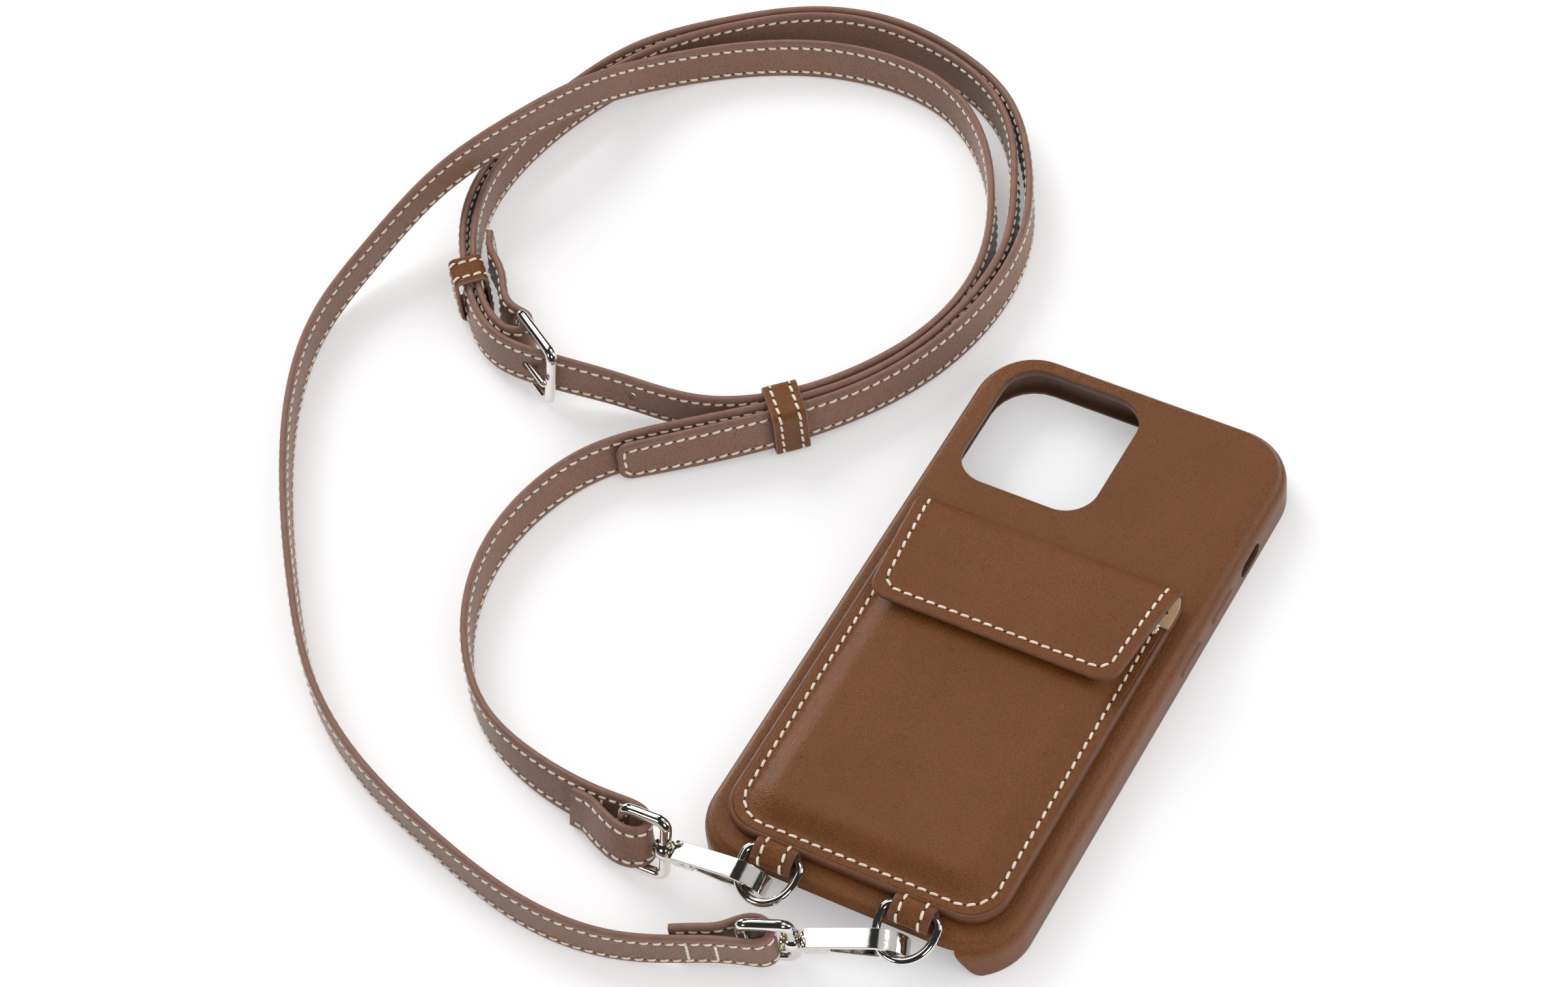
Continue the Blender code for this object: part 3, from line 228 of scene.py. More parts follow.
BUCKLE_FOLD = [
    (-157.2, 31.3, 3.4, -10), (-153.6, 30.6, 3.7, -10), (-151.1, 31.7, 3.7, -8),
    (-150.2, 34.0, 3.7, 0), (-151.6, 36.3, 3.5, 8), (-155.6, 37.4, 3.2, 10),
    (-160.2, 39.6, 2.9, 8), (-165.0, 45.6, 2.3, 6), (-169.4, 49.9, 2.0, 4),
    (-173.6, 53.4, 1.6, 3), (-176.4, 58.0, 1.2, 1),
]
KEEPER_HEADING = {"fixed_keeper": 134.0, "sliding_keeper": 43.5}
KEEPER_LEATHER = 0.9
SEAM = 0.56
HOLES_FROM_PRONG = (-56.0, -28.0, 28.0, 56.0)
HOLE_RADIUS = 1.4

# How warm the leather's mottle is, and how deep its grain, in metres
WARMER = (1.12, 1.0, 0.86)
GRAIN_DEPTH = 0.00024

# What the metal and leather mirror: direction, inner and outer angle, brightness
ROOM = 0.03
SOFT_BOXES = [
    ((-0.55, 0.18, 0.82), 16.0, 17.5, 1.5), ((0.45, 0.4, 0.8), 22.0, 25.5, 0.6),
    ((-0.86, 0.5, 0.1), 7.0, 11.0, 13.0), ((-0.35, 0.68, 0.64), 2.0, 13.0, 5.0),
    ((0.3, 0.51, 0.8), 3.0, 8.0, 14.0),
    ((0.8, 0.5, 0.34), 8.0, 12.0, 6.5), ((0.63, -0.48, 0.61), 7.0, 10.0, 5.0),
    ((-0.33, -0.78, 0.52), 8.0, 10.0, 3.5),
]

# The camera's azimuth, elevation and roll, its place from the case's middle in metres, and its lens
CAMERA_TURN = (34.703, 51.577, 7.668)
CAMERA_AT = (0.306375, -0.523791, 0.838626)
LENS = 99.94

# Lamps: name, place, size, power. Mirrors don't see them, nor do other rays see the soft boxes.
LAMPS = [("key", (-1.45, 0.75, 1.0), 1.3, 22.0), ("fill", (1.45, -0.5, 0.9), 1.4, 11.0)]
LAMPS_AIM = Vector((-0.05, 0.0, 0.0))
SURROUND = (0.55, 0.55, 0.56, 1)
FLOOR = [(-3.0, -3.0, 0), (3.0, -3.0, 0), (3.0, 3.0, 0), (-3.0, 3.0, 0)]


def new_object(name, data):
    """An object in the scene."""
    obj = bpy.data.objects.new(name, data)
    bpy.context.scene.collection.objects.link(obj)
    return obj


def make_camera():
    """A long lens above the front right, rolled a little, as the photograph was taken."""
    azimuth, elevation, roll = (math.radians(a) for a in CAMERA_TURN)
    flat = math.cos(elevation)
    ahead = Vector((-math.sin(azimuth) * flat, math.cos(azimuth) * flat, -math.sin(elevation)))
    right = Vector((math.cos(azimuth), math.sin(azimuth), 0))
    up = right.cross(ahead)
    x = math.cos(roll) * right - math.sin(roll) * up
    z = -ahead
    y = z.cross(x)
    data = bpy.data.cameras.new("camera")
    data.lens = LENS
    data.sensor_width = 36.0
    data.clip_end = 20.0
    camera = new_object("camera", data)
    turn = Matrix((x, y, z)).transposed().to_4x4()
    camera.matrix_world = Matrix.Translation(Vector(CAMERA_AT) + CENTRE) @ turn
    bpy.context.scene.camera = camera


class Graph:
    """The nodes of a material or world, made one by one."""

    def __init__(self, owner):
        self.owner = owner
        owner.use_nodes = True
        self.tree = owner.node_tree
        self.shader = self.tree.nodes.get("Principled BSDF")

    def add(self, kind, inputs=None, **settings):
        node = self.tree.nodes.new("ShaderNode" + kind)
        for key, value in settings.items():
            setattr(node, key, value)
        for key, value in (inputs or {}).items():
            self.feed(node.inputs[key], value)
        return node

    def feed(self, socket, value):
        if isinstance(value, bpy.types.NodeSocket):
            self.tree.links.new(value, socket)
        else:
            socket.default_value = value

    def set(self, **inputs):
        for key, value in inputs.items():
            self.feed(self.shader.inputs[key.replace("_", " ")], value)

    def place(self):
        return self.add("TexCoord").outputs["Object"]

    def noise(self, scale, detail=2.0, rough=0.5):
        inputs = {"Vector": self.place(), "Scale": scale, "Detail": detail, "Roughness": rough}
        return self.add("TexNoise", inputs).outputs["Fac"]

    def cells(self, scale):
        inputs = {"Vector": self.place(), "Scale": scale}
        return self.add("TexVoronoi", inputs, feature="SMOOTH_F1").outputs["Distance"]

    def span(self, value, low, high, start=0.0, end=1.0, **settings):
        """Moves a value from the range start to end into low to high."""
        inputs = {"Value": value, "From Min": start, "From Max": end, "To Min": low, "To Max": high}
        return self.add("MapRange", inputs, **settings).outputs["Result"]

    def maths(self, operation, a, b):
        return self.add("Math", {0: a, 1: b}, operation=operation).outputs["Value"]

    def mix(self, share, a, b, blend="MIX"):
        """Two colours mixed: the sockets 0, 6 and 7 are the share and the colours."""
        node = self.add("Mix", data_type="RGBA", blend_type=blend)
        for socket, value in ((0, share), (6, a), (7, b)):
            self.feed(node.inputs[socket], value)
        return node.outputs[2]

    def two_tones(self, value, colour, low, high, start=0.3, end=0.7):
        """The colour between two strengths, as a noise goes from start to end."""
        return self.mix(self.span(value, 0.0, 1.0, start, end), tone(colour, low), tone(colour, high))

    def bump(self, height, distance, strength=1.0):
        inputs = {"Height": height, "Distance": distance, "Strength": strength}
        return self.add("Bump", inputs).outputs["Normal"]


def new_graph(name):
    return Graph(bpy.data.materials.new(name))


def tone(colour, scale):
    return tuple(min(1.0, c * scale) for c in colour) + (1.0,)


def leather(name, colour, rough=0.31, grain=1.0):
    """Satin leather: fine pebbles whose grain tone also carries painted shade in the valleys and painted
    highlight on the tops, under broad clouds and a warmer mottle.
    """
    g = new_graph(name)
    clouds = g.noise(38.0, 3.0, 0.55)
    mottle = g.noise(260.0, 3.0, 0.6)
    pebbles = g.cells(3000.0)
    pores = g.noise(6000.0, 2.0, 0.6)
    creases = g.noise(2100.0, 3.0, 0.6)
    base = g.two_tones(clouds, colour, 0.9, 1.1)
    tinted = tuple(c * w for c, w in zip(colour, WARMER))
    base = g.mix(g.span(mottle, 0.0, 0.55, 0.35, 0.75), base, tone(tinted, 1.06))
    # Grain tone with painted light: darker in the pebbles' valleys where shade falls, lighter on their raised
    # tops.
    pebble_shade_and_highlight = g.span(pebbles, 1.26, 0.55, 0.05, 0.85)
    pebble_shade_and_highlight = g.add("CombineColor", {0: pebble_shade_and_highlight, 1: pebble_shade_and_highlight, 2: pebble_shade_and_highlight}).outputs[0]
    base = g.mix(1.0, base, pebble_shade_and_highlight, "MULTIPLY")
    height = g.maths("ADD", g.maths("MULTIPLY", pebbles, -0.65), g.maths("MULTIPLY", pores, 0.3))
    height = g.maths("ADD", height, g.maths("MULTIPLY", creases, 0.3))
    g.set(Base_Color=base, Normal=g.bump(height, GRAIN_DEPTH * grain), Specular_IOR_Level=0.36)
    g.set(Roughness=g.span(g.maths("ADD", pores, mottle), rough - 0.06, rough + 0.1, 0.6, 1.4))
    return g.owner


def edge_paint(name, colour, rough=0.4):
    """The rounded lacquered edge of a leather piece, slightly uneven."""
    g = new_graph(name)
    patches = g.noise(300.0, 3.0, 0.6)
    ripples = g.noise(900.0)
    g.set(Base_Color=g.two_tones(patches, colour, 0.88, 1.1))
    g.set(Roughness=g.span(ripples, rough - 0.06, rough + 0.1, 0.3, 0.7))
    g.set(Normal=g.bump(g.maths("ADD", ripples, patches), 0.00012, 0.5), Specular_IOR_Level=0.3)
    return g.owner


def thread(name, colour):
    """Waxed cream thread: fine fibres and a little soiling."""
    g = new_graph(name)
    fibres = g.noise(5200.0, 3.0, 0.6)
    soil = g.noise(420.0)
    base = g.two_tones(soil, colour, 1.05, 0.84, end=0.75)
    base = g.mix(g.span(fibres, 0.0, 0.5, 0.5, 0.85), base, tone(colour, 0.72))
    g.set(Base_Color=base, Roughness=g.span(fibres, 0.55, 0.8))
    g.set(Normal=g.bump(fibres, 0.00014, 0.8))
    return g.owner


def suede(name, colour, scale=1.0):
    """Short nap, brushed lighter and darker in patches."""
    g = new_graph(name)
    nap = g.noise(2600.0 * scale, 4.0, 0.7)
    brushed = g.noise(120.0 * scale, 3.0, 0.6)
    base = g.two_tones(brushed, colour, 0.86, 1.08)
    base = g.mix(g.span(nap, 0.0, 0.5, 0.4, 0.8), base, tone(colour, 0.7))
    g.set(Base_Color=base, Roughness=g.span(nap, 0.86, 1.0), Normal=g.bump(nap, 0.00025, 0.9))
    g.set(Sheen_Weight=0.35)
    return g.owner


def polished(name, colour, rough=0.07):
    """Polished plate with faint wipe marks."""
    g = new_graph(name)
    wipes = g.add("Mapping", {"Vector": g.place(), "Scale": (1.0, 6.0, 2.0)})
    streaks = g.add("TexNoise", {"Vector": wipes.outputs[0], "Scale": 500.0, "Detail": 4.0})
    cloud = g.noise(90.0)
    g.set(Base_Color=g.two_tones(cloud, colour, 0.96, 1.03))
    g.set(Roughness=g.span(streaks.outputs["Fac"], rough - 0.03, rough + 0.07, 0.3, 0.75))
    g.set(Normal=g.bump(streaks.outputs["Fac"], 0.00003, 0.25), Metallic=1.0)
    return g.owner


def moulded(name, colour, rough):
    """Moulded shell plastic with a fine spark-eroded grain."""
    g = new_graph(name)
    grain = g.noise(2400.0)
    wear = g.noise(60.0, 3.0, 0.6)
    g.set(Base_Color=g.two_tones(wear, colour, 0.85, 1.15), Normal=g.bump(grain, 0.00005, 0.5))
    g.set(Roughness=g.span(grain, rough - 0.08, rough + 0.08, 0.3, 0.7))
    return g.owner


CASE_LEATHER = leather("case_leather", (0.175, 0.06, 0.014))
POCKET_LEATHER = leather("pocket_leather", (0.172, 0.058, 0.012))
FLAP_LEATHER_LOOK = leather("flap_leather", (0.178, 0.058, 0.013))
STRAP_LEATHER = leather("strap_leather", (0.255, 0.14, 0.094), grain=0.8)
CASE_PAINT = edge_paint("case_edge_paint", (0.155, 0.06, 0.027))
POCKET_PAINT = edge_paint("pocket_edge_paint", (0.15, 0.064, 0.034), 0.36)
STRAP_PAINT = edge_paint("strap_edge_paint", (0.25, 0.137, 0.1), 0.34)
HOLE_WALL = edge_paint("hole_wall", (0.14, 0.06, 0.034), 0.5)
THREAD_LOOK = thread("cream_thread", (1.0, 0.87, 0.72))
# Near-black needle holes: painted shade where the thread goes into the leather.
NEEDLE_HOLE_SHADE = leather("painted_needle_hole_shade", (0.035, 0.016, 0.01), 0.7)
SUEDE = suede("suede_lining", (0.64, 0.43, 0.26))
MICROFIBRE = suede("microfibre_nap", (0.12, 0.06, 0.035), 1.4)
SHELL = moulded("shell_plastic", (0.12, 0.055, 0.032), 0.4)
NICKEL = polished("polished_nickel", (0.78, 0.755, 0.72))
NICKEL_WARM = polished("worn_nickel", (0.8, 0.71, 0.5), 0.14)
MAGNET = polished("plated_magnet", (0.42, 0.42, 0.43), 0.3)


def ring_faces(rings, points, close_rings=False, close_points=True):
    """Quads between successive rings of equally many points."""
    k = np.arange(rings if close_rings else rings - 1)[:, None]
    i = np.arange(points if close_points else points - 1)[None, :]
    nk, ni = (k + 1) % rings, (i + 1) % points
    quads = [k * points + i, k * points + ni, nk * points + ni, nk * points + i]
    return np.stack(np.broadcast_arrays(*quads), -1).reshape(-1, 4)


def capped(rings, points):
    """The faces of a solid through rings, with both of its ends."""
    last = (rings - 1) * points
    return ring_faces(rings, points).tolist() + [list(range(points)), list(range(last, last + points))]


def loft(rings, closed=False):
    """Points and faces of a shape through rings, capped at its ends or closed on itself."""
    rings = np.asarray(rings, float)
    count, points = rings.shape[:2]
    return rings.reshape(-1, 3), ring_faces(count, points, True) if closed else capped(count, points)


def raised(outline, level, axis=2):
    """A flat outline at a level on the third axis."""
    return np.insert(np.asarray(outline, float), axis, level, axis=1)


def arc(start, end, count, radius=1.0, centre=(0.0, 0.0)):
    """Points on a circle, or with two radii on an ellipse, between angles in degrees."""
    angles = np.radians(np.linspace(start, end, count))
    return np.asarray(radius) * np.stack([np.cos(angles), np.sin(angles)], 1) + centre


def ellipse(middle, first, second, sides):
    """Points round a middle, on the ellipse that two vectors span."""
    angles = np.linspace(0, 2 * math.pi, sides, endpoint=False)
    return [middle + first * math.cos(a) + second * math.sin(a) for a in angles]


def unit(vectors):
    return vectors / np.linalg.norm(vectors, axis=-1, keepdims=True)


def distances(line):
    """How far along a line each of its points lies."""
    return np.concatenate([[0.0], np.cumsum(np.linalg.norm(np.diff(line, axis=0), axis=1))])


def read_at(s, line, at):
    """Points on a line, given how far along it each of its own points lies."""
    return np.stack([np.interp(s, at, column) for column in line.T], -1)


def looks_between(section, pick):
    """The look between each of a section's points (.., .., look) and the next, round and round."""
    looks = [point[2] for point in section]
    return [pick(pair) for pair in zip(looks, looks[1:] + looks[:1])]


def piece(name, points, faces, looks, body, groups=None, matrix=None):
    """A mesh from points in millimetres, on a body. Without a matrix they are in the case's frame."""
    points = np.asarray(points, float).reshape(-1, 3)
    if matrix is not None:
        turn = np.array(matrix)
        points = points @ turn[:3, :3].T + turn[:3, 3]
    mesh = bpy.data.meshes.new(name)
    mesh.from_pydata((points * MM + np.array(CENTRE)).tolist(), [], [list(map(int, f)) for f in faces])
    for look in looks:
        mesh.materials.append(look)
    if groups is not None:
        mesh.polygons.foreach_set("material_index", np.asarray(groups, np.int32))
    mesh.update()
    bm = bmesh.new()
    bm.from_mesh(mesh)
    bmesh.ops.recalc_face_normals(bm, faces=bm.faces)
    bm.to_mesh(mesh)
    bm.free()
    mesh.shade_smooth()
    obj = new_object(name, mesh)
    if body:
        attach(obj, body)
    return obj


def shown_for(node):
    """The piece shows in a solid's place: the solid is hidden."""
    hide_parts(node)


def sharpen(obj, degrees):
    obj.data.set_sharp_from_angle(angle=math.radians(degrees))


def joined(parts):
    """Points, faces and groups of several meshes as one. Each part is (points, faces, group)."""
    points, faces, groups, start = [], [], [], 0
    for at, made, group in parts:
        at = np.asarray(at, float).reshape(-1, 3)
        points.append(at)
        faces += [[int(i) + start for i in face] for face in made]
        groups += [group] * len(made) if np.isscalar(group) else list(group)
        start += len(at)
    return np.concatenate(points), faces, groups


def merged(shapes):
    """Points and faces of several shapes as one."""
    return joined([(*shape, 0) for shape in shapes])[:2]


def cut(obj, cutters):
    """Takes the cutters out of a mesh piece, and removes them."""
    for cutter in cutters:
        modifier = obj.modifiers.new(cutter.name, "BOOLEAN")
        modifier.operation = "DIFFERENCE"
        modifier.solver = "EXACT"
        modifier.object = cutter
    graph = bpy.context.evaluated_depsgraph_get()
    made = bpy.data.meshes.new_from_object(obj.evaluated_get(graph))
    obj.modifiers.clear()
    old = obj.data
    obj.data = made
    bpy.data.meshes.remove(old)
    made.name = obj.name
    for cutter in cutters:
        bpy.data.objects.remove(cutter)


def rounded(half_x, half_y, radius, corner_steps=14, side_steps=8, centre=(0.0, 0.0)):
    """A rectangle with round corners, its sides divided too."""
    corners = [
        arc(start, start + 90, corner_steps + 1, radius, (sx * (half_x - radius), sy * (half_y - radius)))
        for sx, sy, start in ((1, 1, 0), (-1, 1, 90), (-1, -1, 180), (1, -1, 270))
    ]
    points = []
    for corner, following in zip(corners, corners[1:] + corners[:1]):
        points.append(corner)
        shares = np.linspace(0, 1, side_steps + 1)[1:-1, None]
        points.append(corner[-1] * (1 - shares) + following[0] * shares)
    return np.concatenate(points) + np.array(centre)


def prism(name, outline, low, high, axis=2):
    """A straight cutter from an outline in the two other axes."""
    return piece(name, *loft([raised(outline, at, axis) for at in (low, high)]), [HOLE_WALL], None)


def bulge_noise(x, y, size):
    """Gentle unevenness of stretched leather."""
    return size * (
        np.sin(x * 0.21 + 1.3) * np.sin(y * 0.17 + 0.4)
        + 0.6 * np.sin(x * 0.43 + y * 0.31) + 0.4 * np.sin(y * 0.62 - x * 0.29 + 2.0)
    )


def make_wrap():
    """The leather skin: rolled rim, side wall with a pressed line, round shoulder, flat back."""
    fillet = (BACK_FILLET, CASE_TOP - BACK_FILLET)
    at = np.linspace(90, 0, 46)
    press = sum(rise * np.exp(-(((at - middle) / width) ** 2)) for rise, middle, width in SHOULDER)
    section = [
        *((inset, CASE_TOP) for inset in (11.0, 8.0, 6.0)),
        *arc(90, 180, 46, (BACK_FILLET + press)[:, None], fillet),
        *((0.0, z) for z in np.linspace(CASE_TOP - BACK_FILLET, RIM_FILLET, 7)[1:-1]),
        *arc(180, 270, 6, RIM_FILLET, (RIM_FILLET, RIM_FILLET)),
        (WRAP, 0.1),
        *arc(180, 90, 10, BACK_FILLET - WRAP, fillet),
        (8.0, CASE_TOP - WRAP),
    ]
    rings = []
    for inset, z in section:
        loop = rounded(CASE_X - inset, CASE_Y - inset, max(CASE_CORNER - inset, 2.0), 14, 12)
        rings.append(raised(loop, z))
    obj = piece("leather_skin", *loft(rings), [CASE_LEATHER, HOLE_WALL], None)
    centre = (-CASE_X + CAMERA_INSET[0] + CAMERA_SIZE[0] / 2, CASE_Y - CAMERA_INSET[1] - CAMERA_SIZE[1] / 2)
    hole = rounded(CAMERA_SIZE[0] / 2, CAMERA_SIZE[1] / 2, CAMERA_CORNER, 12, 2, centre)
    jamb = [
        (PORT_HALF_BACK, PORT_TOP), (PORT_HALF_RIM - 1.9, 2.4), (PORT_HALF_RIM - 1.0, 1.2),
        (PORT_HALF_RIM + 0.3, 0.35), (PORT_HALF_RIM + 1.6, 0.0), (PORT_HALF_RIM + 1.6, -1.0),
    ]
    port = [(-x, z) for x, z in jamb] + jamb[::-1]
    y, z, length, height = MUTE
    slot = rounded(length / 2, height / 2, height * 0.48, 6, 2, (y, z))
    cut(obj, [
        prism("cut_camera", hole, -1.0, CASE_TOP + 2.0),
        prism("cut_port", port, -CASE_Y - 1.0, -CASE_Y + 5.0, 1),
        prism("cut_mute", slot, CASE_X - 3.0, CASE_X + 2.0, 0),
    ])
    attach(obj, "case")
    shown_for("leather_wrap")
    sharpen(obj, 35)
    make_camera_lip(centre)


def make_camera_lip(centre):
    """The turned and painted edge round the camera opening."""
    section = [
        (0.9, -0.3), (0.7, -0.02), (0.45, 0.03), (0.2, -0.03), (0.02, -0.18), (-0.08, -0.42),
        (-0.1, -0.8), (0.1, -0.95), (0.5, -0.7),
    ]
    rings = []
    for out, lift in section:
        loop = rounded(CAMERA_SIZE[0] / 2 + out, CAMERA_SIZE[1] / 2 + out, CAMERA_CORNER + out, 16, 4, centre)
        rings.append(raised(loop, CASE_TOP + lift))
    obj = piece("camera_lip", *loft(rings, closed=True), [CASE_PAINT], "case")


def make_button(node, body, side, y, length):
    """A soft bump where the leather is pressed over a button."""
    rings = []
    for share in np.arange(9) / 8:
        lift = BUTTON_PROUD * (0.5 - 0.5 * math.cos(math.pi * min(1.0, share * BUTTON_STEEP)))
        inset = -BUTTON_RIM + BUTTON_RUN * share
        half = BUTTON_HEIGHT / 2 - inset
        loop = rounded(length / 2 - inset, half, max(0.35, half - 0.02), 8, 6, (y, BUTTON_Z))
        rings.append(raised(loop, side * (CASE_X - 0.03 + lift), 0))
    base = rings[0].copy()
    base[:, 0] = side * (CASE_X - 0.5)
    rings.insert(0, base)
    obj = piece(node + "_bump", *loft(rings), [CASE_LEATHER], body)
    shown_for(node)


class Sheet:
    """A leather sheet with a U-shaped outline, square at its top end."""

    SIDE, CORNER, FOOT = 64, 10, 34

    def __init__(self, width, foot, corner, top, place, least=1.0, ease=1.0):
        self.width, self.foot, self.corner, self.top, self.place = width, foot, corner, top, place
        self.least, self.ease = least, ease

    def loop(self, inset):
        """The outline at an inset: down the left side, round the foot, up the right side."""
        slope = self.width(self.foot + 1.0) - self.width(self.foot)
        lean = math.hypot(1.0, slope)
        radius = max(self.corner - self.ease * inset, self.least)
        level = self.foot + inset + radius
        middle = self.width(level) - (inset + radius) * lean
        corner = arc(180 + math.degrees(math.atan(slope)), 270, self.CORNER + 1, radius, (-middle, level))
        ys = np.linspace(self.top, corner[0, 1], self.SIDE + 1)[:-1]
        side = np.stack([[-(self.width(y) - inset * lean) for y in ys], ys], 1)
        left = np.concatenate([side, corner])
        foot_x = np.linspace(left[-1, 0], -left[-1, 0], self.FOOT + 1)[1:-1]
        bottom = np.stack([foot_x, np.full_like(foot_x, self.foot + inset)], 1)
        return np.concatenate([left, bottom, left[::-1] * (-1, 1)])

    def ladder(self, loop):
        """Points that fill a loop, row by row, and the index of every grid corner."""
        rows = self.SIDE + self.CORNER + 1
        count = len(loop)
        index = np.zeros((rows, self.FOOT + 1), int)
        extra = []
        for i in range(rows):
            index[i, 0], index[i, -1] = i, count - 1 - i
            if i == rows - 1:
                index[i, 1:-1] = rows + np.arange(self.FOOT - 1)
                break
            shares = np.linspace(0, 1, self.FOOT + 1)[1:-1, None]
            index[i, 1:-1] = count + len(extra) * (self.FOOT - 1) + np.arange(self.FOOT - 1)
            extra.append(loop[i] * (1 - shares) + loop[count - 1 - i] * shares)
        return np.concatenate(extra), index

    def solid(self, name, section, looks, body):
        """A closed sheet through (inset, lift, look) rings, from its upper middle round its edge."""
        faces, groups = [], []
        loops = [self.loop(inset) for inset, _, _ in section]
        points = [self.path(inset, lift) for inset, lift, _ in section]
        count = len(loops[0])
        for k in range(len(section) - 1):
            quads = ring_faces(2, count, close_points=False) + k * count
            faces += quads.tolist()
            groups += [min(section[k][2], section[k + 1][2])] * len(quads)
        start = len(section) * count
        ends = []
        for k in (0, len(section) - 1):
            inset, lift, group = section[k]
            extra, index = self.ladder(loops[k])
            points.append(self.place(extra[:, 0], extra[:, 1], np.full(len(extra), inset + 1.0), lift))
            grid = np.where(index < count, index + k * count, index - count + start)
            start += len(extra)
            quads = np.stack([grid[:-1, :-1], grid[1:, :-1], grid[1:, 1:], grid[:-1, 1:]], -1).reshape(-1, 4)
            faces += quads.tolist()
            groups += [group] * len(quads)
            ends.append(grid[0])
        left = [k * count for k in range(len(section))]
        right = [k + count - 1 for k in left]
        faces.append(list(ends[0]) + right[1:] + list(ends[1][::-1])[1:] + left[1:-1][::-1])
        groups.append(section[0][2])
        return piece(name, np.concatenate(points), faces, looks, body, groups)

    def path(self, inset, lift):
        """The outline at an inset, placed at a lift."""
        loop = self.loop(inset)
        return self.place(loop[:, 0], loop[:, 1], np.full(len(loop), inset), lift)


def smoothstep(value):
    value = np.clip(value, 0.0, 1.0)
    return value * value * (3 - 2 * value)


def sewn_groove(inset):
    """How deep the thread presses into the leather."""
    return 0.1 * np.exp(-(((inset - SEW_INSET) / 0.35) ** 2))


def pocket_place(x, y, inset, lift):
    """The pocket's front: a flat sewn margin that rises to a soft, slightly crowned middle."""
    rise = smoothstep(np.clip((inset - FLANGE_WIDTH) / BULGE_SLOPE, 0.0, 1.0) ** 0.78)
    pressed = sewn_groove(inset)
    crown = 0.12 * rise * (1 - (x / POCKET_X) ** 2)
    waves = bulge_noise(x, y, 0.045) * smoothstep((inset - 2.0) / 6.0)
    z = FLANGE_TOP + BULGE * rise - pressed + crown + waves + lift
    return np.stack([x, y, z], 1)


def edge_section(thickness):
    """Rings round a rounded, painted edge with a crease, from its upper face to its lower one."""
    half = thickness / 2
    rings = arc(90, -90, 11, (-half, half), (half, -half))
    rings[5, 0] += EDGE_CREASE
    return [(inset, lift, 1) for inset, lift in rings]


def pocket_sheet(top, place, *corner):
    return Sheet(lambda y: POCKET_X, -POCKET_FOOT, POCKET_CORNER, top, place, *corner)


def make_pocket():
    """The pocket: its front, the painted band that closes its edge, and the flat back panel."""
    front = pocket_sheet(MOUTH_Y, pocket_place, 3.2, 0.5)
    insets = [20.0, 16.0, 14.0, *np.linspace(12.5, 5.0, 12), 4.5, 4.1, 3.75, *MARGIN]
    section = [(inset, 0.0, 0) for inset in insets]
    section += [(inset, -1.0, 0) for inset in (0.75, 3.0, 5.0, 8.0, 12.5, 16.0)]
    obj = front.solid("pocket_front_skin", section, [POCKET_LEATHER, POCKET_PAINT], "case")
    shown_for("pocket_front_panel")
    sew("pocket_front_thread", front.path(SEW_INSET, 0.0), front.path(SEW_INSET, 1.0), "case", knots=True)

    flat = pocket_sheet(SEAM_Y, lambda x, y, inset, lift: np.stack([x, y, 0 * x + PANEL_Z + lift], 1))
    section = [(9.0, PANEL, 0), (0.6, PANEL, 0), (0.6, 0.0, 0), (9.0, 0.0, 0)]
    obj = flat.solid("pocket_back_skin", section, [POCKET_LEATHER], "case")
    shown_for("pocket_back_panel")

    height = FLANGE_TOP - PANEL_Z
    band = [
        (1.05, height - 0.01), (0.8, height + 0.05), (0.5, height + 0.04), (0.2, height - 0.08),
        (0.02, height - 0.3), (-0.06, height - 0.7), (0.03, height / 2), (-0.06, 0.7),
        (0.02, 0.3), (0.2, 0.06), (0.5, 0.0), (1.0, 0.2), (1.2, height / 2),
    ]
    edge = pocket_sheet(MOUTH_Y, flat.place)
    rings = [edge.path(inset, lift) for inset, lift in band]
    count = len(rings[0])
    starts = [k * count for k in range(len(rings))]
    faces = ring_faces(len(rings), count, True, False).tolist() + [starts, [k + count - 1 for k in starts]]
    obj = piece("pocket_edge", np.concatenate(rings), faces, [POCKET_PAINT], "case")


def flap_line():
    """The flap's outer face from its foot, over the fold and on under the pocket: y, z, length."""
    ys = np.linspace(FLAP_FOOT, FOLD_Y - FLAP_BEND, 24)
    share = np.maximum(0.0, (ys - 2.0) / 20.0)
    zs = FLAP_TOP - 0.9 * share * share
    start_z = HINGE_Z + 0.3
    over = arc(90, 0, 24, (FLAP_BEND, zs[-1] - start_z), (FOLD_Y - FLAP_BEND, start_z))[1:]
    under = arc(0, -90, 14, FOLD_RADIUS, (FOLD_Y - FOLD_RADIUS, HINGE_Z))
    tail = np.array([(FOLD_Y - FOLD_RADIUS - 3.0, PANEL_Z), (SEAM_Y + 3.0, PANEL_Z), (SEAM_Y, PANEL_Z)])
    line = np.concatenate([np.stack([ys, zs], 1), over, under, tail])
    return line, distances(line)


FLAP_LINE, FLAP_LENGTH = flap_line()
FLAP_HINGE_AT = float(np.interp(FOLD_Y - 0.02, FLAP_LINE[:48, 0], FLAP_LENGTH[:48]))


def flap_width(s):
    taper = FLAP_X_FOOT + (FLAP_X_TOP - FLAP_X_FOOT) * min(1.0, s / FLAP_HINGE_AT)
    return taper + (POCKET_X - FLAP_X_TOP - 0.1) * float(smoothstep((s - FLAP_HINGE_AT) / 8.0))


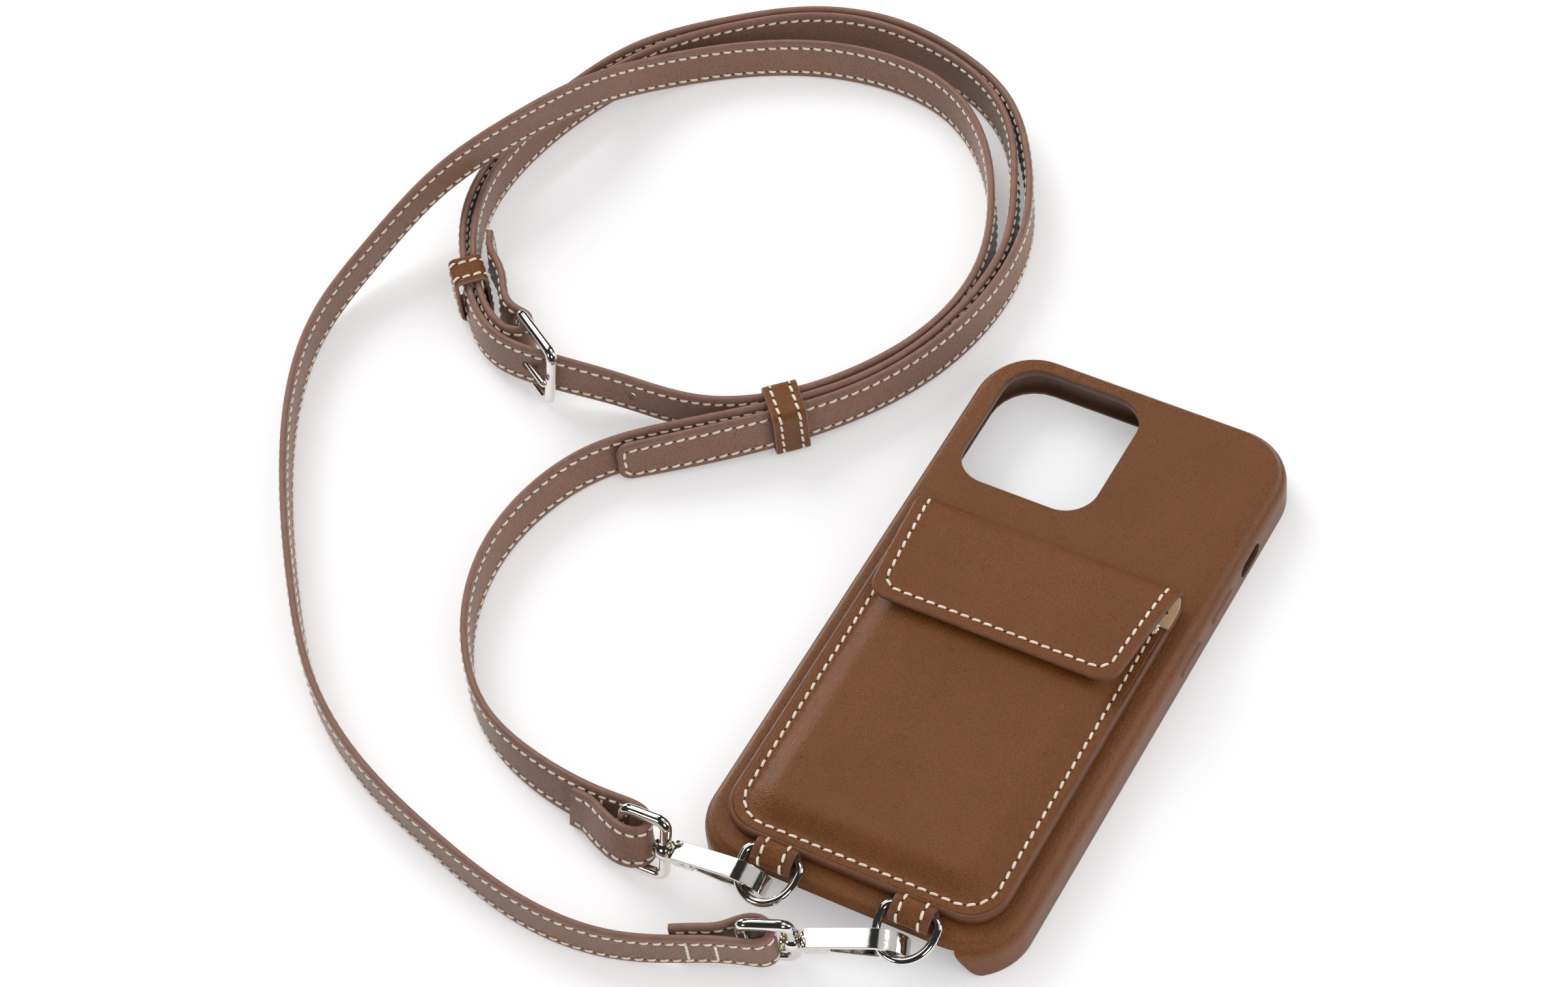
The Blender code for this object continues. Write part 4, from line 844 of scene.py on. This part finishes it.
def flap_place(x, s, inset, lift):
    """A point on the flap, lifted outwards from its outer face; the leather thins past the fold."""
    (y, z), ahead, behind = (read_at(s + step, FLAP_LINE, FLAP_LENGTH).T for step in (0.0, 0.6, -0.6))
    dy, dz = ahead[0] - behind[0], ahead[1] - behind[1]
    size = np.hypot(dy, dz)
    thin = 1 - (1 - PANEL / FLAP_LEATHER) * smoothstep((s - FLAP_HINGE_AT + 4.0) / 8.0)
    pressed = sewn_groove(inset) * (lift > -0.3)
    waves = bulge_noise(x, s, 0.03) * smoothstep(inset / 5.0) * (1 - smoothstep((s - 22.0) / 6.0))
    off = lift * thin - pressed + waves
    return np.stack([x, y - dz / size * off, z + dy / size * off], 1)


def make_flap():
    """The flap, in one piece with the fold behind it and lined with suede."""
    top = float(FLAP_LENGTH[-1])
    sheet = Sheet(flap_width, 0.0, FLAP_CORNER, top, flap_place, 0.6, 0.35)
    insets = [14.0, 9.0, 6.0, 5.0, 4.3, 3.8, *MARGIN]
    section = [(inset, 0.0, 0) for inset in insets] + edge_section(FLAP_LEATHER)
    section += [(inset, -FLAP_LEATHER, 0) for inset in (1.0, 3.0, 8.0, 14.0)]
    obj = sheet.solid("flap_skin", section, [FLAP_LEATHER_LOOK, POCKET_PAINT], None)
    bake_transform(obj)
    shown_for("flap")
    shown = sheet.loop(SEW_INSET)[:, 1] < FLAP_HINGE_AT - 1.5
    sew("flap_thread", sheet.path(SEW_INSET, 0.0)[shown], sheet.path(SEW_INSET, 1.0)[shown], "flap")

    lining = Sheet(lambda s: flap_width(s) - 0.5, 0.7, FLAP_CORNER - 0.6, top - 0.8, flap_place, 0.6)
    low, high = -FLAP_LEATHER - 0.45, -FLAP_LEATHER - 0.04
    section = [(9.0, high, 0), (0.2, high, 0), (0.0, (low + high) / 2, 0), (0.2, low, 0), (9.0, low, 0)]
    obj = lining.solid("flap_suede", section, [SUEDE], None)
    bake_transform(obj)
    shown_for("flap_lining")
    inset = SEW_INSET - 0.4
    shown = sheet.loop(inset)[:, 1] < top - 6.0
    # The needle holes in the suede, as lenses of painted shade.
    _, holes = stitches(sheet.path(inset, low)[shown], sheet.path(inset, low - 1.0)[shown])
    obj = piece("flap_suede_holes", *holes[:2], [NEEDLE_HOLE_SHADE], None)
    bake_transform(obj)


def stitches(row, above, slant=SLANT, pitch=PITCH, length=STITCH, radius=THREAD):
    """Thread stitches, and the needle holes between them as dark lenses of painted shade, along a row on a
    surface.
    """
    cumulative = distances(row)
    count = max(1, round(cumulative[-1] / pitch))
    at = (np.arange(count) + 0.5) * cumulative[-1] / count

    def seat(s):
        """Where the row is, and its directions up, ahead and aside."""
        place, higher = (read_at(s, line, cumulative) for line in (row, above))
        behind, before = (read_at(s + step, row, cumulative) for step in (-0.8, 0.8))
        up, ahead = unit(higher - place), unit(before - behind)
        return place, up, ahead, np.cross(up, ahead)

    centre, up, ahead, side = seat(at)
    turn = math.radians(slant)
    heading = ahead * math.cos(turn) + side * math.sin(turn)
    across = np.cross(up, heading)
    sides = 7
    points = []
    for share in (-1.0, -0.86, -0.5, 0.0, 0.5, 0.86, 1.0):
        swell = radius * (0.4 + 0.6 * math.sqrt(max(0.0, 1 - share**4)))
        lift = radius * (0.62 - 1.5 * share**6)
        middle = centre + heading * (share * length / 2) + up * lift
        points.append(np.stack(ellipse(middle, across * (swell * 1.12), up * (swell * 0.8), sides), 1))
    points = np.stack(points, 1)
    rings = points.shape[1]
    one = capped(rings, sides)
    one[-2].reverse()
    faces = [[i + k * rings * sides for i in face] for k in range(count) for face in one]
    centre, up, ahead, side = seat((at[:-1] + at[1:]) / 2)
    # Each needle hole is a small near-black lens on the surface: painted shade, not an opening.
    ring = ellipse(centre + up * 0.015, ahead * NEEDLE[0], side * NEEDLE[1], 8)
    holes = np.stack(ring + [centre + up * 0.05, centre - up * 0.2], 1)
    cone = [[i, (i + 1) % 8, 8] for i in range(8)] + [[(i + 1) % 8, i, 9] for i in range(8)]
    hole_faces = [[i + k * 10 for i in face] for k in range(len(holes)) for face in cone]
    return (points.reshape(-1, 3), faces, 0), (holes.reshape(-1, 3), hole_faces, 1)


def knot(at, up, ahead):
    """A clump of short crossing turns of thread where a row ends."""
    side = np.cross(up, ahead)
    parts = []
    for across, along, lift, slant in (
        (-0.5, 0.1, 0.0, -25.0), (0.45, -0.2, 0.05, 38.0), (0.0, 0.75, 0.2, 62.0), (0.1, -0.7, 0.25, -58.0),
        (0.5, 0.6, 0.3, 8.0),
    ):
        middle = at + side * across + ahead * along + up * lift
        line = np.array([middle + ahead * t for t in np.linspace(-0.6, 0.6, 6)])
        parts += stitches(line, line + up, slant, pitch=10.0, length=1.5)[:1]
    return parts


def thread_piece(name, parts, body):
    points, faces, groups = joined(parts)
    return piece(name, points, faces, [THREAD_LOOK, NEEDLE_HOLE_SHADE], body, groups)


def sew(name, row, above, body, knots=False):
    parts = list(stitches(row, above))
    if knots:
        for i, j in ((0, 1), (-1, -2)):
            ahead = unit(row[j] - row[i])
            parts += knot(row[i] + ahead * 0.9, unit(above[i] - row[i]), ahead)
    return thread_piece(name, parts, body)


def smooth_route(knots, step):
    """Reads a natural cubic spline through the knots, with a point about every step."""
    knots = np.array(knots, float)
    span = np.diff(distances(knots[:, :2]))
    count = len(knots)
    system = np.eye(count)
    right = np.zeros_like(knots)
    for i in range(1, count - 1):
        system[i, i - 1 : i + 2] = (span[i - 1], 2 * (span[i - 1] + span[i]), span[i])
        slopes = np.diff(knots[i - 1 : i + 2], axis=0) / span[i - 1 : i + 1, None]
        right[i] = 6 * (slopes[1] - slopes[0])
    bend = np.linalg.solve(system, right)
    rows = []
    for i, h in enumerate(span):
        steps = max(1, round(h / step))
        u = (np.arange(steps) / steps * h)[:, None]
        v = h - u
        rows.append(
            bend[i] * v**3 / (6 * h) + bend[i + 1] * u**3 / (6 * h)
            + (knots[i] / h - bend[i] * h / 6) * v + (knots[i + 1] / h - bend[i + 1] * h / 6) * u
        )
    return np.concatenate([*rows, knots[-1:]])


class Strap:
    """A leather strap on edge along a route: its middle line, its upward and outward directions."""

    def __init__(self, knots):
        rows = smooth_route(knots, 0.25)
        tangent = unit(np.gradient(rows[:, :2], axis=0))
        keep, turned, gone = [0], 0.0, 0.0
        for k in range(1, len(rows)):
            cross = tangent[k - 1, 0] * tangent[k, 1] - tangent[k - 1, 1] * tangent[k, 0]
            turned += abs(math.asin(max(-1, min(1, cross))))
            gone += math.dist(rows[k, :2], rows[k - 1, :2])
            if turned > 0.1 or gone > 1.3 or k == len(rows) - 1:
                keep.append(k)
                turned = gone = 0.0
        rows, tangent = rows[keep], tangent[keep]
        lean = np.radians(rows[:, 3])
        normal = np.stack([-tangent[:, 1], tangent[:, 0], 0 * lean], 1)
        self.up = -normal * np.sin(lean)[:, None] + UPWARDS * np.cos(lean)[:, None]
        edge = np.stack([rows[:, 0], rows[:, 1], STRAP_WIDTH + rows[:, 2]], 1)
        self.middle = edge - self.up * (STRAP_WIDTH / 2)
        self.out = unit(np.cross(self.up, unit(np.gradient(self.middle, axis=0))))
        self.at = distances(self.middle)
        self.length = float(self.at[-1])

    def seat(self, s):
        """The middle line's place, and the directions up and out."""
        return [read_at(s, line, self.at) for line in (self.middle, self.up, self.out)]

    def surface(self, s, w, face, lift=0.0):
        """A point on a face: s along the strap, w up from its middle line."""
        middle, up, out = self.seat(s)
        return middle + up * np.asarray(w, float)[..., None] + out * (face * (STRAP_THICKNESS / 2 + lift))

    def section(self):
        """Rings' points (across, out, look), from the top edge down one face and up the other."""
        t = STRAP_THICKNESS / 2
        edge = arc(-90, 90, 9, t, (STRAP_WIDTH / 2 - t, 0))
        edge[4, 0] -= STRAP_CREASE
        groove = ((0.5, 0.0), (0.2, -0.05), (0.0, -0.1), (-0.2, -0.05), (-0.5, 0.0))
        face = [(SEW_LINE + w, t + d) for w, d in groove] + [(1.4, t + 0.03)]
        half = [(w, out, 1) for w, out in edge]
        half += [(w, out, 0) for w, out in face] + [(-w, out, 0) for w, out in face[::-1]]
        return half + [(-w, -out, look) for w, out, look in half]

    def mesh(self, name, looks, round_tip):
        section = self.section()
        w, t, _ = np.array(section).T
        at = self.at
        width = thick = np.ones(len(at))
        if round_tip:
            extra = self.length - STRAP_TIP * (1 - np.cos(np.linspace(0, math.pi / 2, 12)))
            at = np.unique(np.concatenate([at[at < self.length - STRAP_TIP], extra]))
            away = self.length - at
            drop = STRAP_TIP - np.sqrt(np.maximum(0.0, STRAP_TIP**2 - np.maximum(0, STRAP_TIP - away) ** 2))
            width = (STRAP_WIDTH / 2 - drop) / (STRAP_WIDTH / 2)
            half = STRAP_THICKNESS / 2
            thick = np.sqrt(np.clip(1 - (np.maximum(0, half - away) / half) ** 2, 0.02, 1))
        middle, up, out = self.seat(at)
        points = (
            middle[:, None] + up[:, None] * (w[None, :] * width[:, None])[..., None]
            + out[:, None] * (t[None, :] * thick[:, None])[..., None]
        )
        groups = looks_between(section, max) * (len(at) - 1) + [1, 1]
        return piece(name, *loft(points), looks, None, groups)

    def rows(self, round_tip, cross_rows):
        """The thread on both faces: a row along each edge, joined round a tip, and rows across."""
        if round_tip:
            end = self.length - STRAP_TIP
            radius = STRAP_TIP - STRAP_SEW
            s = np.linspace(STRAP_START, end, 2000)
            corner = arc(90, 0, 8, radius, (end, SEW_LINE - radius))
            upper = np.concatenate([np.stack([s, 0 * s + SEW_LINE], 1), corner])
            runs = [np.concatenate([upper, upper[::-1] * (1, -1)]).T]
        else:
            s = np.linspace(STRAP_START, self.length - STRAP_START, 1600)
            runs = [(s, 0 * s + SEW_LINE), (s, 0 * s - SEW_LINE)]
        parts = []
        for face in (-1, 1):
            for s, w in runs:
                row, above = (self.surface(s, w, face, lift) for lift in (-0.09, 1.0))
                parts += stitches(row, above, SLANT * face)
        w = np.linspace(0.6 - SEW_LINE, SEW_LINE - 0.6, 30)
        for s, face in cross_rows:
            row, above = (self.surface(np.full(30, s), w, face, lift) for lift in (-0.03, 1.0))
            parts += stitches(row, above, 4.0, pitch=1.55, length=1.6, radius=0.34)
        return parts


def turned_at(place, turn):
    """Where a piece's own frame lies: a place and three angles in degrees."""
    return Matrix.Translation(Vector(place)) @ Euler([math.radians(a) for a in turn]).to_matrix().to_4x4()


def make_straps():
    """Both straps, each in one piece with its ends folded back and sewn."""
    made = {}
    for node, knots, rows, tail in (
        ("strap_long", RIGHT_FOLD + LONG_ROUTE, (4.0, 11.0), ()),
        ("strap_short", LEFT_FOLD + SHORT_ROUTE + BUCKLE_FOLD, (3.0, 7.8), (3.5, 8.5)),
    ):
        strap = Strap(knots)
        tip = node == "strap_long"
        back = nearest(strap, strap.surface(rows[0], 0.0, 0), *FOLD_BACK)
        crossings = [(s, 1) for s in (*rows, back, back - (rows[1] - rows[0]))]
        crossings += [(strap.length - s, -1) for s in tail]
        obj = strap.mesh(node + "_leather", [STRAP_LEATHER, STRAP_PAINT], tip)
        if tip:
            cut_holes(obj, strap)
        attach(obj, "case")
        shown_for(node)
        seam = thread_piece(node + "_thread", strap.rows(tip, crossings), "case")
        sharpen(obj, 50)
        made[node] = (obj, strap, seam)
    return made


def nearest(strap, point, low=0.0, high=math.inf):
    """Where along a strap, between two distances, it lies nearest to a point."""
    away = np.linalg.norm(strap.middle - point, axis=1)
    away[(strap.at < low) | (strap.at > high)] = math.inf
    return float(strap.at[int(np.argmin(away))])


def cut_holes(obj, strap):
    """The row of adjusting holes on both sides of the buckle's prong."""
    start = nearest(strap, BUCKLE[0])
    drills = []
    for distance in HOLES_FROM_PRONG + (0.0,):
        middle, up, out = strap.seat(start + distance)
        spanned = (HOLE_RADIUS * np.cross(out, up), HOLE_RADIUS * up, 20)
        drills.append(loft([ellipse(middle + out * off, *spanned) for off in (-2.0, 2.0)]))
    cut(obj, [piece("cut_holes", *merged(drills), [HOLE_WALL], None)])


def tube(points, radius, up, closed=False, sides=24):
    """Rings round a path that lies square to up, with round ends when it is open."""
    points = np.asarray(points, float)
    up = np.asarray(up, float)
    radii = np.full(len(points), radius)
    if closed:
        ahead = np.roll(points, -1, 0) - np.roll(points, 1, 0)
    else:
        ahead = np.gradient(points, axis=0)
        first, last = unit(ahead[0]), unit(ahead[-1])
        turns = np.radians([88, 65, 42, 20])
        head = [points[0] - first * radius * math.sin(a) for a in turns]
        tail = [points[-1] + last * radius * math.sin(a) for a in turns[::-1]]
        sizes = radius * np.cos(turns)
        points = np.concatenate([head, points, tail])
        radii = np.concatenate([sizes, radii, sizes[::-1]])
        ahead = np.concatenate([[first] * 4, ahead, [last] * 4])
    side = unit(np.cross(up, unit(ahead)))
    size = radii[:, None]
    return loft(np.stack(ellipse(points, side * size, up * size, sides), 1), closed)


def lathe(profile, segments=40, closed=True, centre=(0.0, 0.0), axis=0):
    """A profile of (along, radius) turned about an axis through centre."""
    rings = [raised(arc(0, 360, segments + 1, r, centre)[:-1], along, axis) for along, r in profile]
    return loft(rings, closed)


def slab(outline, width):
    """A flat outline in x and z, given its width along y."""
    return loft([raised(outline, s * width / 2, 1) for s in (-1, 1)])


def curve_through(points, count):
    """A smooth line through points, at even steps."""
    points = np.asarray(points, float)
    at = distances(points)
    pad = np.concatenate([[2 * points[0] - points[1]], points, [2 * points[-1] - points[-2]]])
    made = []
    for s in np.linspace(0, at[-1], count):
        k = min(len(points) - 2, int(np.searchsorted(at, s, "right")) - 1)
        u = (s - at[k]) / (at[k + 1] - at[k])
        p0, p1, p2, p3 = pad[k : k + 4]
        made.append(0.5 * (2 * p1 + (p2 - p0) * u + (2 * p0 - 5 * p1 + 4 * p2 - p3) * u * u
                           + (3 * p1 - p0 - 3 * p2 + p3) * u**3))
    return np.array(made)


def soften(obj, width):
    """Rounds a piece's edges and keeps its flats flat."""
    modifier = obj.modifiers.new("soften", "BEVEL")
    modifier.width = width * MM
    modifier.segments = 3
    modifier.limit_method = "ANGLE"
    modifier.angle_limit = math.radians(32.0)
    weigh = obj.modifiers.new("weigh", "WEIGHTED_NORMAL")
    weigh.keep_sharp = True
    weigh.weight = 80


def metal(name, shape, body, node=None, look=None, sharp=None, matrix=None):
    """A metal piece, in the place of a solid if it has one."""
    obj = piece(name, *shape, [look or NICKEL], body, matrix=matrix)
    if node:
        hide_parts(node)
    if sharp:
        sharpen(obj, sharp)
    return obj


def make_ring(side, sign):
    """A D ring on its tab."""
    straight = RING_HALF_WIDTH - RING_SHOULDER
    middle = RING_SHOULDER + 1.4
    right = arc(-90, 0, 12, RING_SHOULDER, (straight, RING_SHOULDER))
    far = arc(0, 180, 60, (RING_HALF_WIDTH, RING_LENGTH - middle), (0, middle))[1:-1]
    bar = np.stack([np.linspace(-straight, straight, 12)[1:-1], np.zeros(10)], 1)
    loop = np.concatenate([bar, right, far, right[::-1] * (-1, 1)])
    matrix = turned_at((sign * TAB_X, *RING_BAR), (RING_TILT[side], 0, 0))
    shape = tube(raised(loop * (1, -1), 0.0), RING_WIRE / 2, UPWARDS, closed=True)
    metal("d_ring_" + side, shape, "ring_" + side, "ring_" + side, matrix=matrix)


def wire_loop(length):
    """The bent wire of an eye or of the buckle."""
    flat = rounded(length / 2, LOOP_HEIGHT / 2, LOOP_CORNER, 12, 8)
    return tube(raised(flat, 0.0, 1), LOOP_WIRE / 2, (0, 1, 0), closed=True)


def make_eye(side):
    """The wire loop that holds the strap, with the barrel in which the hook turns."""
    shape = merged([wire_loop(EYE_LENGTH), lathe(BARREL)])
    matrix = turned_at(*EYES[side])
    metal("swivel_loop_" + side, shape, "eye_" + side, "swivel_eye_" + side, sharp=50, matrix=matrix)


def hook_matrix(side):
    place, turn = EYES[side]
    boss = turned_at(place, turn) @ Vector((EYE_LENGTH / 2, 0, 0))
    ahead = Euler([math.radians(a) for a in HOOK_TURN[side]]).to_matrix() @ Vector((NECK_FROM_BOSS, 0, 0))
    return turned_at(boss + ahead, HOOK_TURN[side])


def hook_outline():
    """The hook in profile: block, long back, and a nose that curls down."""
    top, under = (curve_through(line, 26) for line in (HOOK_BACK, HOOK_INSIDE))
    block = [(5.8, 0.95), (5.5, 0.7), (5.5, -2.0), (0.0, -1.85)]
    return np.concatenate([[(0.0, 1.75), (1.2, 2.0)], top, under, block])


def make_hook(side):
    """A swivel snap hook: body, neck, rivet and sprung gate."""
    matrix = hook_matrix(side)
    body = "hook_" + side
    obj = piece("snap_hook_" + side, *slab(hook_outline(), HOOK_WIDTH), [NICKEL], None, matrix=matrix)
    cut(obj, [piece("cut_slot", *slab(*GATE_SLOT), [NICKEL], None, matrix=matrix)])
    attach(obj, body)
    soften(obj, 0.42)
    shown_for("hook_body_" + side)
    thin, back = NECK_RADIUS, -NECK_LENGTH
    neck = [
        (0.3, 0.2), (0.3, 2.0), (0.0, 2.25), (-0.4, 2.25), (-0.5, 2.1), (-0.5, thin), (back, thin),
        (back, 1.9), (back - 0.25, 2.02), (back - 0.5, 1.9), (back - 0.72, thin), (back - 0.78, 0.2),
    ]
    shape = lathe(neck, 36, closed=False)
    metal("swivel_neck_" + side, shape, body, look=NICKEL_WARM, sharp=45, matrix=matrix)
    half = HOOK_WIDTH / 2
    rivet = [
        (half + 0.16, 0.1), (half + 0.15, 0.7), (half + 0.08, 1.0), (half - 0.05, 1.12), (half - 0.3, 1.12),
        (half - 0.3, 0.7),
    ]
    rivet += [(-along, radius) for along, radius in rivet[::-1]]
    shape = lathe(rivet, 32, closed=False, centre=PIN_AT, axis=1)
    metal("gate_rivet_" + side, shape, body, "gate_pin_" + side, sharp=45, matrix=matrix)
    upper = curve_through([(5.9, -0.9), (10.0, -2.1), (15.0, -3.5), (20.5, -4.5)], 14)
    lower = curve_through([(20.8, -5.4), (18.0, -5.2), (14.8, -4.6), (10.0, -3.2), (5.9, -2.1)], 14)
    lever = slab(np.concatenate([upper, lower]), GATE_WIDTH)
    round_end = arc(60, 285, 18, KNUCKLE_RADIUS, PIN_AT)
    knuckle = slab(np.concatenate([round_end, [(6.3, -2.05), (6.3, -0.95)]]), KNUCKLE_WIDTH)
    shape = merged([lever, knuckle])
    obj = metal("snap_gate_" + side, shape, "gate_" + side, "gate_" + side, matrix=matrix)
    soften(obj, 0.3)


def make_buckle():
    """The buckle's frame, and the prong that curls round its heel."""
    matrix = turned_at(*BUCKLE)
    metal("buckle_wire", wire_loop(BUCKLE_LENGTH), "case", "buckle_frame", matrix=matrix)
    reach = LOOP_WIRE / 2 + 0.3 + PRONG_WIRE / 2
    run = np.stack([np.linspace(0.6, BUCKLE_LENGTH + 1.0, 20), np.full(20, -reach)], 1)
    path = raised(np.concatenate([arc(75, 270, 30, reach), run]), 0.0) - (BUCKLE_LENGTH / 2, 0, 0)
    metal("prong_wire", tube(path, PRONG_WIRE / 2, UPWARDS, sides=18), "prong", "buckle_prong", matrix=matrix)


def make_keeper(node, body):
    """A leather band round the plies, its size read from the solid that it replaces."""
    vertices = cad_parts[node].data.vertices
    at = (np.array([v.co[:] for v in vertices]) - np.array(CENTRE)) / MM
    heading = math.radians(KEEPER_HEADING[node])
    along = np.array([math.cos(heading), math.sin(heading), 0.0])
    across = np.array([-math.sin(heading), math.cos(heading), 0.0])
    axes = (along, across, UPWARDS)
    spans = [(float((at @ v).min()), float((at @ v).max())) for v in axes]
    middle = sum(v * sum(span) / 2 for v, span in zip(axes, spans))
    half = [(high - low) / 2 for low, high in spans]
    t = KEEPER_LEATHER

    def band(share, lift):
        """A ring round the band: its share of the half length, and how far out from its inner face."""
        loop = rounded(half[1] - t + lift, half[2] - t + lift, 0.8 + lift, 8, 6)
        return middle + along * (share * half[0]) + loop[:, :1] * across + loop[:, 1:] * UPWARDS

    edge = [(1, 0.12, 1), (1, 0.35, 1), (1, t - 0.35, 1), (0.985, t - 0.12, 1), (0.93, t, 1)]
    face = [(0.8, t, 0), (0.62, t - 0.04, 0), (SEAM, t - 0.1, 0), (0.5, t - 0.04, 0), (0.3, t + 0.03, 0)]
    section = [(-share, lift, paint) for share, lift, paint in edge + face] + (edge + face)[::-1]
    section += [(0.93, 0.0, 0), (-0.93, 0.0, 0)]
    rings = [band(share, lift) for share, lift, _ in section]
    groups = [look for look in looks_between(section, min) for _ in rings[0]]
    obj = piece(node + "_band", *loft(rings, closed=True), [POCKET_LEATHER, STRAP_PAINT], body, groups)
    shown_for(node)
    parts = []
    for share in (-SEAM, SEAM):
        row, above = (band(share, t + lift) for lift in (-0.08, 1.0))
        parts += stitches(*(np.concatenate([loop, loop[:1]]) for loop in (row, above)), pitch=2.9)
    thread_piece(node + "_thread", parts, body)


def make_tab(side, sign):
    """A leather loop sewn under the pocket's foot and folded round the ring's bar."""
    line = curve_through(TAB_RUN, 60)
    ahead = unit(np.gradient(line, axis=0))
    normal = np.stack([ahead[:, 1], -ahead[:, 0]], 1)
    half = TAB_WIDTH / 2
    t = TAB_LEATHER / 2
    seam = half - TAB_SEW
    section = [(w, h, 1) for w, h in arc(-90, 90, 7, t, (half - t, 0))]
    inner = [(half - 1.2, t), (seam + 0.2, t), (seam, t - 0.07), (seam - 0.2, t), (1.0, t + 0.02)]
    section += [(w, h, 0) for w, h in inner] + [(-w, h, 0) for w, h in inner[::-1]]
    section += [(-w, -h, g) for w, h, g in section]
    base = np.array([sign * TAB_X, RING_BAR[0], PANEL_Z])

    def along(w, h):
        """The line on the tab at a place across it and a height from its middle."""
        return base + raised(line + normal * h, w, 0)

    rings = np.stack([along(w, h) for w, h, _ in section], 1)
    groups = looks_between(section, max) * (len(rings) - 1) + [1, 1]
    obj = piece("ring_loop_" + side, *loft(rings), [POCKET_LEATHER, POCKET_PAINT], "case", groups)
    shown_for("ring_tab_" + side)
    parts = []
    for w in (-seam, seam):
        parts += stitches(along(w, 0.05 - t)[14:54], along(w, -1.5)[14:54], pitch=2.8)
    thread_piece("ring_loop_thread_" + side, parts, "case")


def dress_kept_nodes():
    """Looks for the solids that show as they are."""
    for node, look in (
        ("case_shell", SHELL), ("microfibre_lining", MICROFIBRE), ("pocket_lining", SUEDE),
        ("pocket_front_lining", SUEDE), ("pocket_magnet", MAGNET), ("flap_magnet", MAGNET),
    ):
        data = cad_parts[node].data
        data.materials.clear()
        data.materials.append(look)


def make_floor():
    """A white sweep that glows a little to the camera and in mirrors."""
    mesh = bpy.data.meshes.new("floor")
    mesh.from_pydata(FLOOR, [], [(0, 1, 2, 3)])
    floor = new_object("floor", mesh)
    g = new_graph("white_sweep")
    g.set(Base_Color=(0.86, 0.855, 0.86, 1.0), Roughness=0.9, Specular_IOR_Level=0.1)
    path = g.add("LightPath")
    glow = g.add("Emission", {"Color": (1.0, 0.995, 1.0, 1.0)})
    seen = g.maths("MAXIMUM", path.outputs["Is Camera Ray"], path.outputs["Is Glossy Ray"])
    g.feed(glow.inputs["Strength"], g.maths("MULTIPLY", seen, 0.3))
    both = g.add("AddShader", {0: g.shader.outputs[0], 1: glow.outputs[0]})
    g.feed(g.tree.nodes["Material Output"].inputs["Surface"], both.outputs[0])
    mesh.materials.append(g.owner)


def make_world():
    """An even surround, in which mirroring rays meet the soft boxes instead."""
    bpy.context.scene.world = bpy.data.worlds.new("studio")
    g = Graph(bpy.context.scene.world)
    towards = g.add("TexCoord").outputs["Generated"]
    light, room = 0.0, ROOM
    for middle, inner, outer, level in SOFT_BOXES:
        facing = g.add("VectorMath", {0: towards, 1: Vector(middle).normalized()}, operation="DOT_PRODUCT")
        start, end = (math.cos(math.radians(angle)) for angle in (outer, inner))
        patch = g.span(facing.outputs["Value"], room, level, start, end, interpolation_type="SMOOTHSTEP")
        light, room = g.maths("ADD", light, patch), 0.0
    glossy = g.add("LightPath").outputs["Is Glossy Ray"]
    background = g.tree.nodes["Background"]
    g.feed(background.inputs["Color"], g.mix(glossy, SURROUND, light))
    g.feed(background.inputs["Strength"], 1.0)


def make_lamps():
    """The large lamps that light the leather."""
    for name, place, size, power in LAMPS:
        data = bpy.data.lights.new(name, "AREA")
        data.shape = "SQUARE"
        data.size = size
        data.energy = power
        lamp = new_object(name, data)
        lamp.location = place
        lamp.visible_glossy = False
        lamp.rotation_euler = (LAMPS_AIM - Vector(place)).to_track_quat("-Z", "Y").to_euler()


make_camera()
STRAPS = make_straps()
make_buckle()
make_wrap()
for BUTTON in BUTTONS:
    make_button(*BUTTON)
make_pocket()
make_flap()
for SIDE, SIGN in (("left", -1), ("right", 1)):
    make_tab(SIDE, SIGN)
    make_ring(SIDE, SIGN)
    make_eye(SIDE)
    make_hook(SIDE)
make_keeper("fixed_keeper", "case")
make_keeper("sliding_keeper", "keeper")
dress_kept_nodes()
make_floor()
make_world()
make_lamps()
bpy.context.scene.view_settings.view_transform = "Standard"
